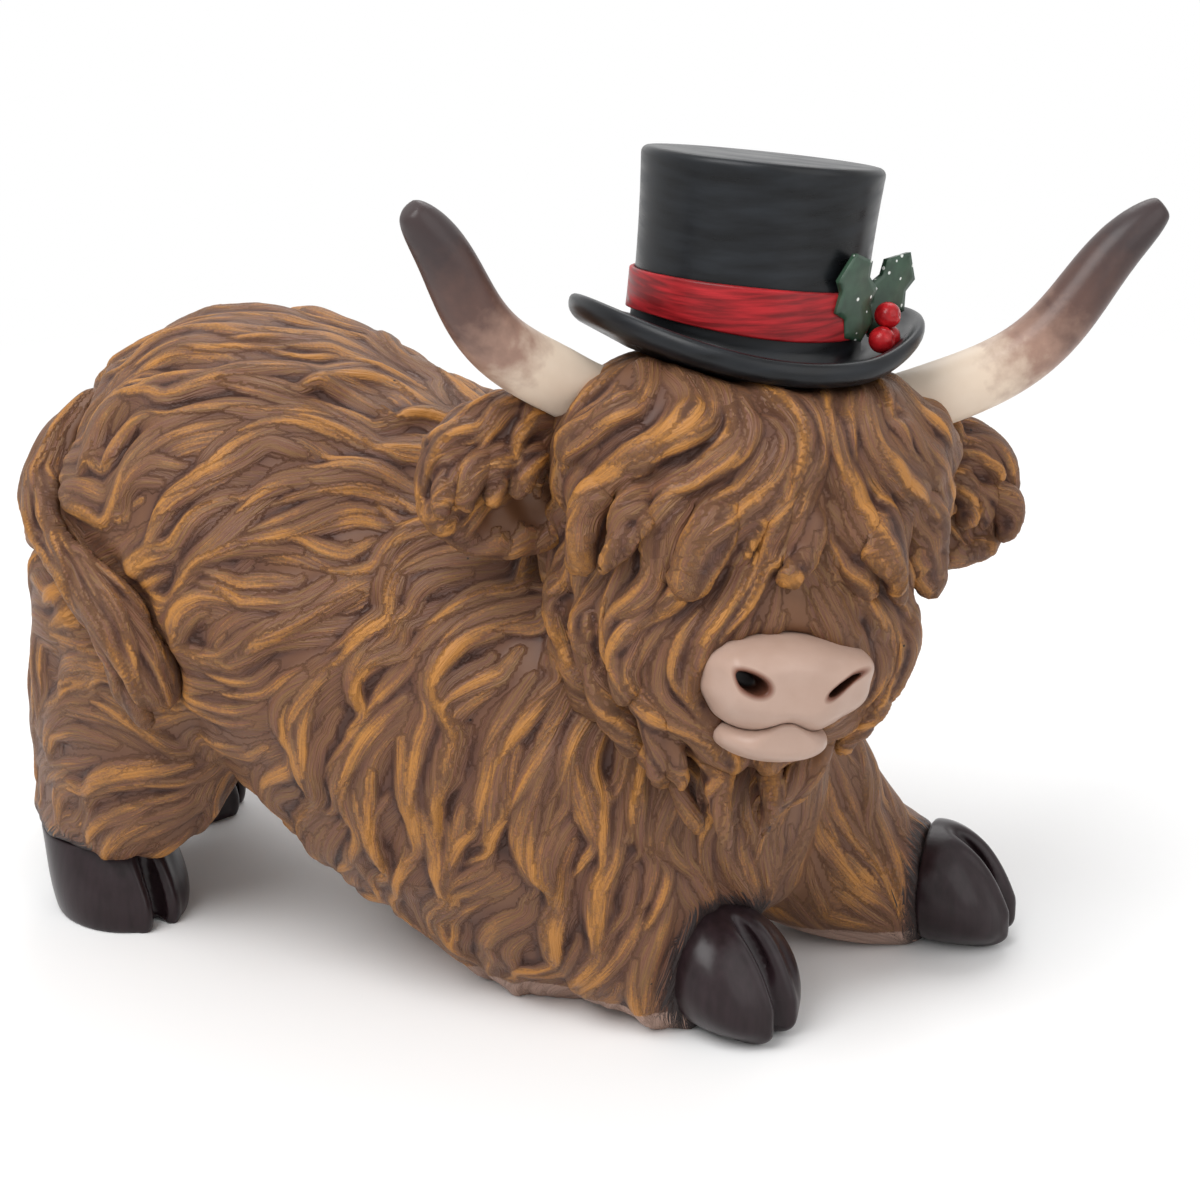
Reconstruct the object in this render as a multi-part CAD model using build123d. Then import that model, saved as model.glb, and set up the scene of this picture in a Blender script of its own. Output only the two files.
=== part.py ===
from build123d import *
import os
from math import cos, radians, sin

# Highland cow ornament in a play bow, wearing a top hat. Millimetres.
# +X is forward along the back, +Y is the cow's left, +Z is up. The origin is on the ground, in the
# flat underside of the chest. Each casting, painted piece and pin is a node of its own.

# Torso: rump high, chest flat on the ground, rump swung a little to the cow's left
torso_rear_x = -98.0
torso_length = 134.0
torso_width = 82.0
rump_height = 105.0
rump_sway = 5.0
# along the length, half width, underside and back, as shares of length, width and rump height
torso_station_shares = [
    (0.000, 0.06, 0.610, 0.730),
    (0.012, 0.17, 0.530, 0.820),
    (0.050, 0.29, 0.450, 0.905),
    (0.120, 0.40, 0.380, 0.965),
    (0.230, 0.48, 0.310, 1.000),
    (0.340, 0.50, 0.190, 0.980),
    (0.460, 0.49, 0.062, 0.915),
    (0.600, 0.48, -0.035, 0.855),
    (0.740, 0.44, -0.070, 0.800),
    (0.860, 0.33, 0.030, 0.720),
    (0.940, 0.23, 0.130, 0.590),
    (0.985, 0.11, 0.220, 0.450),
]

# Ruff of chest hair hanging under the chin
ruff_length = 30.0
ruff_width = 38.0
ruff_height = 56.0
ruff_centre_shares = (0.900, -0.04, 0.39)

# Tufts: the coat's main locks, low mounds that lie back and down
tuft_length = 22.0
tuft_width = 9.0
tuft_thickness = 6.0
torso_tuft_rise = 1.2
torso_tuft_turn = 22.0
torso_tuft_slant = 40.0
torso_tufts_a_side = 6
head_tuft_rise = 1.5
mop_tuft_pitches = (30.0, -3.0, -36.0)
mop_tuft_turn = 24.0
mop_tufts_a_side = 3
cheek_tuft_turns = (98.0, 124.0, 150.0)

# Head: turned to the cow's right, chin up a little, left side low
head_centre_shares = (0.886, -0.090, 0.797)
head_yaw = -50.0
head_pitch = 8.0
head_roll = -9.0
head_length = 54.0
head_width = 56.5
head_height = 70.0
# along the length from the head's centre, half width, underside and top
head_station_shares = [
    (-0.46, 0.16, -0.12, 0.26),
    (-0.35, 0.34, -0.28, 0.37),
    (-0.17, 0.45, -0.40, 0.42),
    (0.06, 0.47, -0.47, 0.42),
    (0.26, 0.45, -0.49, 0.37),
    (0.41, 0.385, -0.47, 0.26),
    (0.51, 0.28, -0.43, 0.08),
    (0.56, 0.18, -0.40, -0.08),
]

# Mop of hair over the eyes
mop_length = 44.0
mop_width = 62.0
mop_height = 38.0
mop_centre_shares = (0.13, 0.01, 0.16)

# Muzzle and lower lip, set into the face
muzzle_width = 27.0
muzzle_height = 15.5
muzzle_length = 15.0
muzzle_root_shares = (0.41, 0.0, -0.28)
nostril_width = 4.0
nostril_height = 2.6
nostril_depth = 5.0
nostril_apart = 14.6
nostril_lift = 1.2
nostril_tilt = 25.0
lip_width = 18.0
lip_height = 8.0
lip_length = 13.0
lip_drop = 8.6
# along the length, then width and height
muzzle_station_shares = [
    (0.00, 0.90, 0.92),
    (0.30, 1.00, 1.00),
    (0.65, 0.96, 0.94),
    (0.90, 0.76, 0.72),
    (1.00, 0.52, 0.46),
]

# Horns: out, forward and up from the sides of the head, the left one higher
horn_root_shares = (0.0, 0.33, 0.265)
horn_left_reach = 47.0
horn_left_rise = 37.5
horn_right_reach = 41.5
horn_right_rise = 28.0
horn_forward = 12.0
horn_diameter = 10.6
# along the spine, out and forward alike, then up, then thickness
horn_spine_shares = [
    (0.00, 0.00, 1.00),
    (0.30, 0.10, 1.00),
    (0.50, 0.23, 0.97),
    (0.70, 0.47, 0.90),
    (0.80, 0.68, 0.84),
    (0.91, 0.88, 0.70),
    (1.00, 1.00, 0.38),
]

# Ears: drooping leaves under the horns
ear_root_shares = (-0.02, 0.36, 0.16)
ear_length = 30.0
ear_depth = 25.0
ear_thickness = 10.0
ear_sweep = -3.0
ear_droop = 16.0
# along the length, then depth and thickness
ear_station_shares = [
    (0.00, 0.62, 0.80),
    (0.25, 0.88, 1.00),
    (0.55, 1.00, 1.00),
    (0.80, 0.86, 0.80),
    (0.94, 0.56, 0.55),
    (1.00, 0.28, 0.32),
]

# Steel locating pins in blind bores
pin_diameter = 3.0
pin_length = 16.0
pin_clearance = 0.05

# Top hat: flared crown on a brim curled up at its sides
hat_seat_shares = (0.0, 0.01, 0.385)
brim_width = 57.0
brim_length = 53.0
brim_thickness = 3.0
brim_curl_radius = 72.0
crown_foot_diameter = 37.0
crown_waist_diameter = 36.0
crown_top_diameter = 38.8
crown_height = 31.0
crown_edge_radius = 1.5
band_height = 7.4
band_thickness = 0.9
band_lift = 1.5
band_clearance = 0.1

# Holly sprig against the band, on the hat's front left
holly_angle = 52.0
leaf_length = 15.0
leaf_width = 10.5
leaf_thickness = 1.6
leaf_splay = 22.0
leaf_apart = 7.0
leaf_lift = 4.5
berry_diameter = 4.2
berry_lift = 3.0
berry_gap = 0.1
# one side of the outline, from stalk to tip: across and up
leaf_spine_shares = [(0.70, 0.14), (0.62, 0.34), (1.00, 0.46), (0.66, 0.64), (0.80, 0.80)]

# Forelegs: shoulders down to the ground, then forward to the hooves
shoulder_length = 36.0
shoulder_width = 34.0
shoulder_height = 46.0
foreleg_width = 36.0
foreleg_depth = 42.0
foreleg_cuff_diameter = 21.0
foreleg_cuff_height = 10.2
foreleg_right_cuff = (24.0, -17.5)
foreleg_right_yaw = -22.0
foreleg_right_shoulder_shares = (0.730, -0.21, 0.44)
foreleg_left_cuff = (49.5, 25.0)
foreleg_left_yaw = 2.0
foreleg_left_shoulder_shares = (0.840, 0.18, 0.42)
# from shoulder to cuff: level way gone, drop gone, then width and depth
foreleg_spine_shares = [
    (0.00, 0.00, 0.80, 0.72),
    (0.10, 0.42, 0.96, 0.94),
    (0.42, 0.80, 0.86, 0.80),
]

# Hind legs: standing, from the haunches
haunch_length = 50.0
haunch_width = 38.0
haunch_height = 62.0
haunch_shares = (0.19, 0.24, 0.60)
hindleg_cuff_back = 5.0
hindleg_right_foot = (-88.0, -14.0)
hindleg_right_yaw = -30.0
hindleg_left_foot = (-98.5, 26.5)
hindleg_left_yaw = 14.0
# from cuff to the middle of the haunch: way gone, then length and width of the haunch's
hindleg_spine_shares = [
    (0.28, 0.76, 0.74),
    (0.62, 0.86, 0.88),
    (1.00, 0.80, 0.80),
]

# Hooves, each with a cleft in front
fore_hoof_length = 14.5
hind_hoof_length = 27.0
hind_hoof_width = 23.0
hind_hoof_height = 14.5
cleft_width = 1.4
# along the length, then width, height and drop of the cuff's diameter
fore_hoof_shares = [
    (0.00, 1.00, 1.00, 0.00),
    (0.30, 1.06, 0.98, -0.02),
    (0.62, 0.98, 0.80, -0.09),
    (0.88, 0.70, 0.50, -0.20),
    (1.00, 0.44, 0.26, -0.26),
]
# up the height, then length and width, and the way back at the cuff
hind_hoof_shares = [
    (0.00, 0.94, 0.94, 0.0),
    (0.25, 1.00, 1.00, 0.05),
    (0.65, 0.97, 0.98, 0.45),
    (1.00, 0.93, 0.90, 1.0),
]

# Tail, lying over the right haunch
tail_diameter = 11.0
# shares of torso length, width and rump height; then thickness
tail_spine_shares = [
    (0.062, -0.10, 0.865, 0.50),
    (0.030, -0.155, 0.815, 0.90),
    (0.019, -0.22, 0.752, 0.98),
    (0.061, -0.32, 0.708, 1.00),
    (0.132, -0.41, 0.670, 1.00),
    (0.184, -0.465, 0.612, 0.94),
    (0.214, -0.475, 0.545, 0.76),
    (0.226, -0.46, 0.488, 0.40),
]

# Overrun of every cut
overrun = 60.0


def oval(at, facing, across, wide, tall):
    """An elliptical face at a point: wide along across, tall at right angles to it."""
    return Plane(origin=at, x_dir=across, z_dir=facing) * Ellipse(wide / 2, tall / 2)


def egg(length, width, height):
    """A ball stretched to its own length, width and height."""
    return scale(Sphere(length / 2), by=(1, width / length, height / length))


def spine_loft(points, sizes, across, tangents=()):
    """A loft along a smooth spine, with an oval of its own width and thickness at each point."""
    spine = Spline(*points, tangents=tangents)
    sections = []
    for point, side, (wide, thick) in zip(points, across, sizes):
        facing = spine % spine.param_at_point(point)
        sections.append(oval(point, facing, side, wide, thick))
    return loft(sections)


def make_tuft(at, outward, way, rise):
    """A low mound along a surface, standing proud of it by the rise."""
    middle = at - outward.normalized() * (tuft_thickness / 2 - rise)
    place = Location(Plane(origin=middle, x_dir=way, z_dir=outward))
    return place * egg(tuft_length, tuft_width, tuft_thickness)


def above_ground(shape):
    """The shape with everything under the ground plane cut away."""
    slab = Box(4 * torso_length, 4 * torso_length, overrun, align=(Align.CENTER, Align.CENTER, Align.MAX))
    return shape - slab


def heading(yaw):
    """The level direction at an angle from straight ahead."""
    return Vector(cos(radians(yaw)), sin(radians(yaw)), 0)


def in_torso(shares):
    """A point from shares of the torso's length, width and rump height."""
    along, out, up = shares
    sway = rump_sway * (1 - along)
    return Vector(torso_rear_x + along * torso_length, out * torso_width + sway, up * rump_height)


def in_head(shares, side=1):
    """A point of the head's own frame from shares of its length, width and height."""
    return Vector(shares[0] * head_length, side * shares[1] * head_width, shares[2] * head_height)


head_place = (
    Location(in_torso(head_centre_shares))
    * Rotation(0, 0, head_yaw)
    * Rotation(0, -head_pitch, 0)
    * Rotation(head_roll, 0, 0)
)
hat_place = head_place * Pos(in_head(hat_seat_shares))


def on_torso(station, side, turn):
    """A point of the torso's skin at a station, turned down from its top to one side."""
    along, half_width, under, over = torso_station_shares[station]
    middle = in_torso((along, 0, (under + over) / 2))
    out = side * half_width * torso_width * sin(radians(turn))
    return middle + Vector(0, out, (over - under) / 2 * rump_height * cos(radians(turn)))


def make_torso_tufts():
    """Tufts on the torso's stations between rump and chest, staggered from row to row."""
    tufts = []
    slant = radians(torso_tuft_slant)
    for station in range(3, len(torso_station_shares) - 2):
        for side in (1, -1):
            for count in range(torso_tufts_a_side):
                turn = torso_tuft_turn * (count + 0.5 + station % 2 / 2)
                at = on_torso(station, side, turn)
                ahead = (on_torso(station + 1, side, turn) - on_torso(station - 1, side, turn)).normalized()
                down = (on_torso(station, side, turn + 1) - on_torso(station, side, turn - 1)).normalized()
                lie = down * sin(slant) - ahead * cos(slant)
                tufts.append(make_tuft(at, ahead.cross(down) * side, lie, torso_tuft_rise))
    return tufts


def make_torso():
    sections = []
    for along, half_width, under, over in torso_station_shares:
        middle = in_torso((along, 0, (under + over) / 2))
        wide = 2 * half_width * torso_width
        tall = (over - under) * rump_height
        sections.append(oval(middle, (1, 0, 0), (0, 1, 0), wide, tall))
    ruff = Pos(in_torso(ruff_centre_shares)) * egg(ruff_length, ruff_width, ruff_height)
    return above_ground(loft(sections) + [ruff, *make_torso_tufts()])


def make_mop_tufts():
    """Tufts that hang down all round the front of the mop."""
    tufts = []
    semi = Vector(mop_length / 2, mop_width / 2, mop_height / 2)
    for row, pitch in enumerate(mop_tuft_pitches):
        for count in range(-mop_tufts_a_side, mop_tufts_a_side + 1):
            rise, turn = radians(pitch), radians(mop_tuft_turn * (count + row % 2 / 2))
            ahead, out, up = cos(rise) * cos(turn), cos(rise) * sin(turn), sin(rise)
            at = in_head(mop_centre_shares) + Vector(semi.X * ahead, semi.Y * out, semi.Z * up)
            outward = Vector(ahead / semi.X, out / semi.Y, up / semi.Z)
            way = Vector(semi.X * up * cos(turn), semi.Y * up * sin(turn), -semi.Z * cos(rise))
            tufts.append(make_tuft(at, outward, way, head_tuft_rise))
    return tufts


def on_head(station, side, turn):
    """A point of the head's skin at a station, turned down from its top to one side."""
    along, half_width, under, over = head_station_shares[station]
    out = half_width * sin(radians(turn))
    return in_head((along, out, (under + over + (over - under) * cos(radians(turn))) / 2), side)


def make_cheek_tufts():
    """Tufts down both cheeks to the chin."""
    tufts = []
    for station in range(1, len(head_station_shares) - 2):
        for side in (1, -1):
            for turn in cheek_tuft_turns:
                ahead = on_head(station + 1, side, turn) - on_head(station - 1, side, turn)
                down = on_head(station, side, turn + 1) - on_head(station, side, turn - 1)
                outward = ahead.cross(down) * side
                tufts.append(make_tuft(on_head(station, side, turn), outward, down, head_tuft_rise))
    return tufts


def make_head():
    sections = []
    for along, half_width, under, over in head_station_shares:
        middle = in_head((along, 0, (under + over) / 2))
        wide = 2 * half_width * head_width
        tall = (over - under) * head_height
        sections.append(oval(middle, (1, 0, 0), (0, 1, 0), wide, tall))
    mop = Pos(in_head(mop_centre_shares)) * egg(mop_length, mop_width, mop_height)
    return loft(sections) + [mop, *make_mop_tufts(), *make_cheek_tufts()]


def make_snout(root, length, width, height):
    """A rounded block that juts forward from a point of the face."""
    sections = []
    for along, wide, tall in muzzle_station_shares:
        at = root + Vector(along * length, 0, 0)
        sections.append(oval(at, (1, 0, 0), (0, 1, 0), wide * width, tall * height))
    return loft(sections)


def make_muzzle():
    root = in_head(muzzle_root_shares)
    muzzle = make_snout(root, muzzle_length, muzzle_width, muzzle_height)
    for side in (1, -1):
        mouth = oval((0, 0, 0), (1, 0, 0), (0, 1, 0), nostril_width, nostril_height)
        drill = Rotation(side * nostril_tilt, 0, 0) * extrude(mouth, nostril_depth, both=True)
        muzzle -= Pos(root + Vector(muzzle_length, side * nostril_apart / 2, nostril_lift)) * drill
    return muzzle


def make_lip():
    root = in_head(muzzle_root_shares) - Vector(0, 0, lip_drop)
    return make_snout(root, lip_length, lip_width, lip_height)


def horn_points(side, reach, rise):
    root = in_head(horn_root_shares, side)
    return [
        root + Vector(out * horn_forward, side * out * reach, up * rise) for out, up, _ in horn_spine_shares
    ]


def make_horn(points):
    sizes = [(thick * horn_diameter, thick * horn_diameter) for *_, thick in horn_spine_shares]
    return spine_loft(points, sizes, [(1, 0, 0)] * len(points))


def make_pin(clearance=0):
    return Cylinder(pin_diameter / 2 + clearance, pin_length + 2 * clearance)


def make_ear(side):
    root = in_head(ear_root_shares, side)
    droop, sweep = radians(ear_droop), radians(ear_sweep)
    out = Vector(-sin(sweep), side * cos(sweep) * cos(droop), -sin(droop))
    sections = []
    for along, deep, thick in ear_station_shares:
        at = root + out * (along * ear_length)
        sections.append(oval(at, out, (1, 0, 0), thick * ear_thickness, deep * ear_depth))
    return loft(sections)


def crown_section(offset, low, high):
    """Half section of the crown between two heights, grown outwards by an offset."""
    foot = crown_foot_diameter / 2 + offset
    waist = crown_waist_diameter / 2 + offset
    top = crown_top_diameter / 2 + offset
    wall = ThreePointArc((foot, 0), (waist, crown_height / 3), (top, crown_height))
    rest = Polyline((top, crown_height), (0, crown_height), (0, 0), (foot, 0))
    strip = Pos(0, (low + high) / 2) * Rectangle(4 * top, high - low)
    return Plane.XZ * (make_face(wall + rest) & strip)


def make_hat():
    crown = revolve(crown_section(0, 0, crown_height), Axis.Z)
    crown = fillet(crown.edges().group_by(Axis.Z)[-1], crown_edge_radius)
    curl = Cylinder(brim_curl_radius + brim_thickness, brim_length)
    curl -= Cylinder(brim_curl_radius, brim_length)
    curl = Pos(0, 0, brim_curl_radius) * Rotation(0, 90, 0) * curl
    outline = extrude(Ellipse(brim_length / 2, brim_width / 2), brim_width / 2, both=True)
    foot = Cylinder(crown_foot_diameter / 2, brim_thickness, align=(Align.CENTER, Align.CENTER, Align.MAX))
    return crown + foot + (curl & outline)


def make_band():
    low, high = band_lift, band_lift + band_height
    ring = crown_section(band_thickness, low, high) - crown_section(band_clearance, low, high)
    return revolve(ring, Axis.Z)


def make_leaf():
    """A holly leaf standing on its stalk end, with spines and bays down both sides."""
    right = [(wide * leaf_width / 2, tall * leaf_length) for wide, tall in leaf_spine_shares]
    left = [(-across, up) for across, up in reversed(right)]
    outline = make_face(Polyline((0, 0), *right, (0, leaf_length), *left, close=True))
    return extrude(Plane.YZ * outline, leaf_thickness)


holly_place = hat_place * Rotation(0, 0, holly_angle) * Pos(crown_waist_diameter / 2 + band_thickness, 0, 0)


def make_leaves():
    leaves = []
    for side in (1, -1):
        stalk = Pos(0, side * leaf_apart / 2, leaf_lift) * Rotation(-side * leaf_splay, 0, 0)
        leaves.append(holly_place * stalk * make_leaf())
    return leaves[0] + leaves[1]


def make_berries():
    radius = berry_diameter / 2
    step = berry_diameter + berry_gap
    low = berry_lift + radius
    berries = [
        Pos(leaf_thickness + radius, side * step / 2, low + rise * step) * Sphere(radius)
        for side, rise in ((1, 0), (-1, 0), (0, cos(radians(30))))
    ]
    return [holly_place * berry for berry in berries]


def make_foreleg(shoulder, cuff, yaw):
    """A leg from the middle of its rounded shoulder to the cuff."""
    start = in_torso(shoulder)
    end = Vector(*cuff, foreleg_cuff_height)
    ahead = heading(yaw)
    level = Vector(end.X - start.X, end.Y - start.Y, 0)
    across = Vector(0, 0, 1).cross(level)
    points, sizes = [], []
    for way, drop, wide, deep in foreleg_spine_shares:
        points.append(start + level * way + Vector(0, 0, (end.Z - start.Z) * drop))
        sizes.append((wide * foreleg_width, deep * foreleg_depth))
    points.append(end)
    sizes.append((foreleg_cuff_diameter, foreleg_cuff_diameter))
    sides = [across] * len(foreleg_spine_shares) + [Vector(0, 0, 1).cross(ahead)]
    leg = spine_loft(points, sizes, sides, tangents=[Vector(0, 0, -1), ahead])
    return above_ground(leg + Pos(start) * egg(shoulder_length, shoulder_width, shoulder_height))


def make_cleft(length, height):
    """A thin wedge, shallow at the cuff and full depth at the toe."""
    outline = Polyline((0, height), (2 * length, height), (2 * length, -2 * height), close=True)
    return extrude(Plane.XZ * make_face(outline), cleft_width / 2, both=True)


def make_fore_hoof(cuff, yaw):
    sections = []
    size = foreleg_cuff_diameter
    for along, wide, tall, drop in fore_hoof_shares:
        at = (along * fore_hoof_length, 0, drop * size)
        sections.append(oval(at, (1, 0, 0), (0, 1, 0), wide * size, tall * size))
    hoof = loft(sections) - Pos(fore_hoof_length / 4, 0, 0) * make_cleft(fore_hoof_length, size / 2)
    return above_ground(Pos(*cuff, foreleg_cuff_height) * Rotation(0, 0, yaw) * hoof)


def hind_cuff(foot, yaw):
    return Vector(*foot, hind_hoof_height) - heading(yaw) * hindleg_cuff_back


def make_hindleg(foot, yaw, side):
    """A standing leg from the cuff up to the middle of its rounded haunch."""
    start = hind_cuff(foot, yaw)
    along, out, up = haunch_shares
    end = in_torso((along, side * out, up))
    way = end - start
    _, long, wide, _ = hind_hoof_shares[-1]
    points = [start]
    sizes = [(long * hind_hoof_length, wide * hind_hoof_width)]
    sides = [heading(yaw)]
    for gone, long, wide in hindleg_spine_shares:
        points.append(start + way * gone)
        sizes.append((long * haunch_length, wide * haunch_width))
        sides.append(heading(yaw * (1 - gone)))
    leg = spine_loft(points, sizes, sides, tangents=[Vector(0, 0, 1), way.normalized()])
    return leg + Pos(end) * egg(haunch_length, haunch_width, haunch_height)


def make_hind_hoof(foot, yaw):
    sections = []
    for up, long, wide, back in hind_hoof_shares:
        at = (-back * hindleg_cuff_back, 0, up * hind_hoof_height)
        sections.append(oval(at, (0, 0, 1), (1, 0, 0), long * hind_hoof_length, wide * hind_hoof_width))
    toe = Pos(hind_hoof_length / 4, 0, 0) * make_cleft(hind_hoof_length / 4, hind_hoof_height)
    return Pos(*foot, 0) * Rotation(0, 0, yaw) * (loft(sections) - toe)


def make_tail():
    points = [in_torso(shares[:3]) for shares in tail_spine_shares]
    sizes = [(thick * tail_diameter, thick * tail_diameter) for *_, thick in tail_spine_shares]
    return spine_loft(points, sizes, [(1, 0, 0)] * len(points))


parts = {}
torso = make_torso()
forelegs = {
    "right": (foreleg_right_shoulder_shares, foreleg_right_cuff, foreleg_right_yaw),
    "left": (foreleg_left_shoulder_shares, foreleg_left_cuff, foreleg_left_yaw),
}
hindlegs = {
    "right": (hindleg_right_foot, hindleg_right_yaw, -1),
    "left": (hindleg_left_foot, hindleg_left_yaw, 1),
}
for name, (shoulder, cuff, yaw) in forelegs.items():
    parts[f"fore_hoof_{name}"] = make_fore_hoof(cuff, yaw)
    torso -= parts[f"fore_hoof_{name}"]
for name, (foot, yaw, side) in hindlegs.items():
    parts[f"hind_hoof_{name}"] = make_hind_hoof(foot, yaw)
    torso -= parts[f"hind_hoof_{name}"]
hat = hat_place * make_hat()
muzzle = head_place * make_muzzle()
lip = head_place * make_lip() - muzzle
head = (head_place * make_head() - torso - hat - muzzle - lip).solids().sort_by(SortBy.VOLUME)[-1]
hat_pin_place = hat_place * Pos(0, 0, -brim_thickness)
parts["hat_pin"] = hat_pin_place * make_pin()
hat_bore = hat_pin_place * make_pin(pin_clearance)
head -= hat_bore
parts["top_hat"] = hat - hat_bore
parts["hat_band"] = hat_place * make_band() - hat
leaves = make_leaves() - hat - parts["hat_band"]
parts["holly_leaves"] = leaves
berries = [berry - hat - parts["hat_band"] - leaves for berry in make_berries()]
parts["holly_berries"] = Compound(children=berries)
parts["muzzle"] = muzzle
parts["lower_lip"] = lip
for name, side, reach, rise in (
    ("left", 1, horn_left_reach, horn_left_rise),
    ("right", -1, horn_right_reach, horn_right_rise),
):
    points = horn_points(side, reach, rise)
    way = points[1] - points[0]
    pin_place = head_place * Location(Plane(origin=points[0] + way / 2, z_dir=way))
    bore = pin_place * make_pin(pin_clearance)
    horn = head_place * make_horn(points) - head
    parts[f"horn_{name}"] = horn - bore - hat
    parts[f"horn_pin_{name}"] = pin_place * make_pin()
    parts[f"ear_{name}"] = head_place * make_ear(side) - head - horn - torso
    head -= bore
parts["head"] = head
legs = {}
for name, (shoulder, cuff, yaw) in forelegs.items():
    legs[f"foreleg_{name}"] = make_foreleg(shoulder, cuff, yaw) - head - parts[f"fore_hoof_{name}"]
legs["foreleg_left"] -= legs["foreleg_right"]
for name, (foot, yaw, side) in hindlegs.items():
    legs[f"hindleg_{name}"] = make_hindleg(foot, yaw, side) - parts[f"hind_hoof_{name}"]
tail = make_tail() - torso
for leg in legs.values():
    tail -= leg
    torso -= leg
parts.update(legs)
parts["tail"] = tail
parts["torso"] = torso.solids().sort_by(SortBy.VOLUME)[-1]

os.makedirs("parts", exist_ok=True)
for name, shape in parts.items():
    export_step(shape, f"parts/{name}.step")
    print(name, round(shape.volume, 1), shape.is_valid, len(shape.solids()))
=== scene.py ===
# %% [markdown]
# # A highland cow ornament in a top hat
# The real object is a shelf ornament: polyresin cast in a soft mould, so its hair is carved relief
# and not fibre, then painted by hand and varnished to a satin sheen. The solids give every casting
# its size and place. Here each one gets the surface a sculptor and a painter would give it.
#
# Everything is in metres, in the frame of the solids: +X forward along the back, +Y the cow's left,
# +Z up.

# %% Load the solids
import math

import bmesh
import bpy
import numpy as np
from mathutils import Euler, Matrix, Vector, noise
from mathutils.bvhtree import BVHTree


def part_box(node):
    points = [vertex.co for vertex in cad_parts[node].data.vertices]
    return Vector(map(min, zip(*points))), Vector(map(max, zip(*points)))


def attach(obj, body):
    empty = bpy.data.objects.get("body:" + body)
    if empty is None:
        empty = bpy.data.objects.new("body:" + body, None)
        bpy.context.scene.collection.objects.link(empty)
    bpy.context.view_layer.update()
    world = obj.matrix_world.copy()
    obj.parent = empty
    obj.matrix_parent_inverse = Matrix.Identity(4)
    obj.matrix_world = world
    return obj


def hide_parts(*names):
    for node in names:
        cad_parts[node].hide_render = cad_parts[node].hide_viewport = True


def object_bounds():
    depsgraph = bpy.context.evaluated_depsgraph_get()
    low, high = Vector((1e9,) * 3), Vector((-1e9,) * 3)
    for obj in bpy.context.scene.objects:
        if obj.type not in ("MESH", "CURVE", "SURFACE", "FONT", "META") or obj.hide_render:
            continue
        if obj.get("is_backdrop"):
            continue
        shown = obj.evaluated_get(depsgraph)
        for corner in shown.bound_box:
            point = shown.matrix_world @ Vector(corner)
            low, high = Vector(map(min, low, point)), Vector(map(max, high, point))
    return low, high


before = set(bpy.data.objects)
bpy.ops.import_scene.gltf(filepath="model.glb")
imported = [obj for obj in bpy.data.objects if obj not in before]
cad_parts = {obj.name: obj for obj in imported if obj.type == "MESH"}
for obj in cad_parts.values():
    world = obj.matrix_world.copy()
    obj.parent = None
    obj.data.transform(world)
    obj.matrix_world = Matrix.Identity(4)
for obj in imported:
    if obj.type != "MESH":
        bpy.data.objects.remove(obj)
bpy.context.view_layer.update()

MM = 0.001

# %% [markdown]
# ## Colours and nodes
# Paint colours are easiest to pick as the sRGB values seen on a screen, but shaders work in linear
# light, so one function turns every hex value to linear. A second function adds a shader node,
# sets it, links it and hands back its output, which keeps a material's recipe short enough to read.

# %% Colour and node helpers
def colour(code):
    """An sRGB hex value as a linear colour with full alpha."""
    channels = [int(code[at:at + 2], 16) / 255 for at in (1, 3, 5)]
    linear = [c / 12.92 if c <= 0.04045 else ((c + 0.055) / 1.055) ** 2.4 for c in channels]
    return (*linear, 1.0)


def node(tree, kind, inputs, out=0, **settings):
    """Adds a node and returns one of its outputs; each input is a number, a colour or an output."""
    made = tree.nodes.new(kind)
    for key, value in settings.items():
        setattr(made, key, value)
    for key, value in inputs.items():
        if isinstance(value, bpy.types.NodeSocket):
            tree.links.new(value, made.inputs[key])
        else:
            made.inputs[key].default_value = value
    return made.outputs[out]


# A Mix node set to colours keeps its sockets at these places
MIX_A, MIX_B, MIX_OUT = 6, 7, 2


def new_material(name, **shader_values):
    """A material, its node tree, its Principled shader and the place on the object for patterns."""
    material = bpy.data.materials.new(name)
    material.use_nodes = True
    tree = material.node_tree
    shader = tree.nodes["Principled BSDF"]
    for key, value in shader_values.items():
        shader.inputs[key.replace("_", " ")].default_value = value
    return material, tree, shader, node(tree, "ShaderNodeTexCoord", {}, out="Object")


# %% [markdown]
# ## From a solid to clay
# A CAD mesh is a good shape but poor clay: long thin triangles, and hard creases where two solids
# meet. A voxel remesh turns copies of one or more solids into one even skin, and a few rounds of
# smoothing melt the creases the way a sculptor's thumb does. numpy does the smoothing, because it
# is quick on several hundred thousand points.

# %% Clay helpers
def added(name, data):
    """A new object with the data given, linked to the scene."""
    made = bpy.data.objects.new(name, data)
    bpy.context.scene.collection.objects.link(made)
    return made


def finished(bm, name):
    """An object with the bmesh's shape; the bmesh is freed."""
    mesh = bpy.data.meshes.new(name)
    bm.to_mesh(mesh)
    bm.free()
    mesh.shade_smooth()
    return added(name, mesh)


def joined_copy(name, node_names):
    """One object with merged copies of the named solids' meshes."""
    bm = bmesh.new()
    for node_name in node_names:
        bm.from_mesh(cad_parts[node_name].data)
    bmesh.ops.remove_doubles(bm, verts=bm.verts, dist=0.001 * MM)
    return finished(bm, name)


def remesh(piece, voxel):
    """Replaces the piece's mesh by an even voxel skin of it."""
    rebuild = piece.modifiers.new("skin", "REMESH")
    rebuild.mode = "VOXEL"
    rebuild.voxel_size = voxel
    bpy.context.view_layer.update()
    seen = piece.evaluated_get(bpy.context.evaluated_depsgraph_get())
    skin = bpy.data.meshes.new_from_object(seen)
    skin.shade_smooth()
    piece.modifiers.clear()
    piece.data = skin
    skin.name = piece.name


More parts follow.
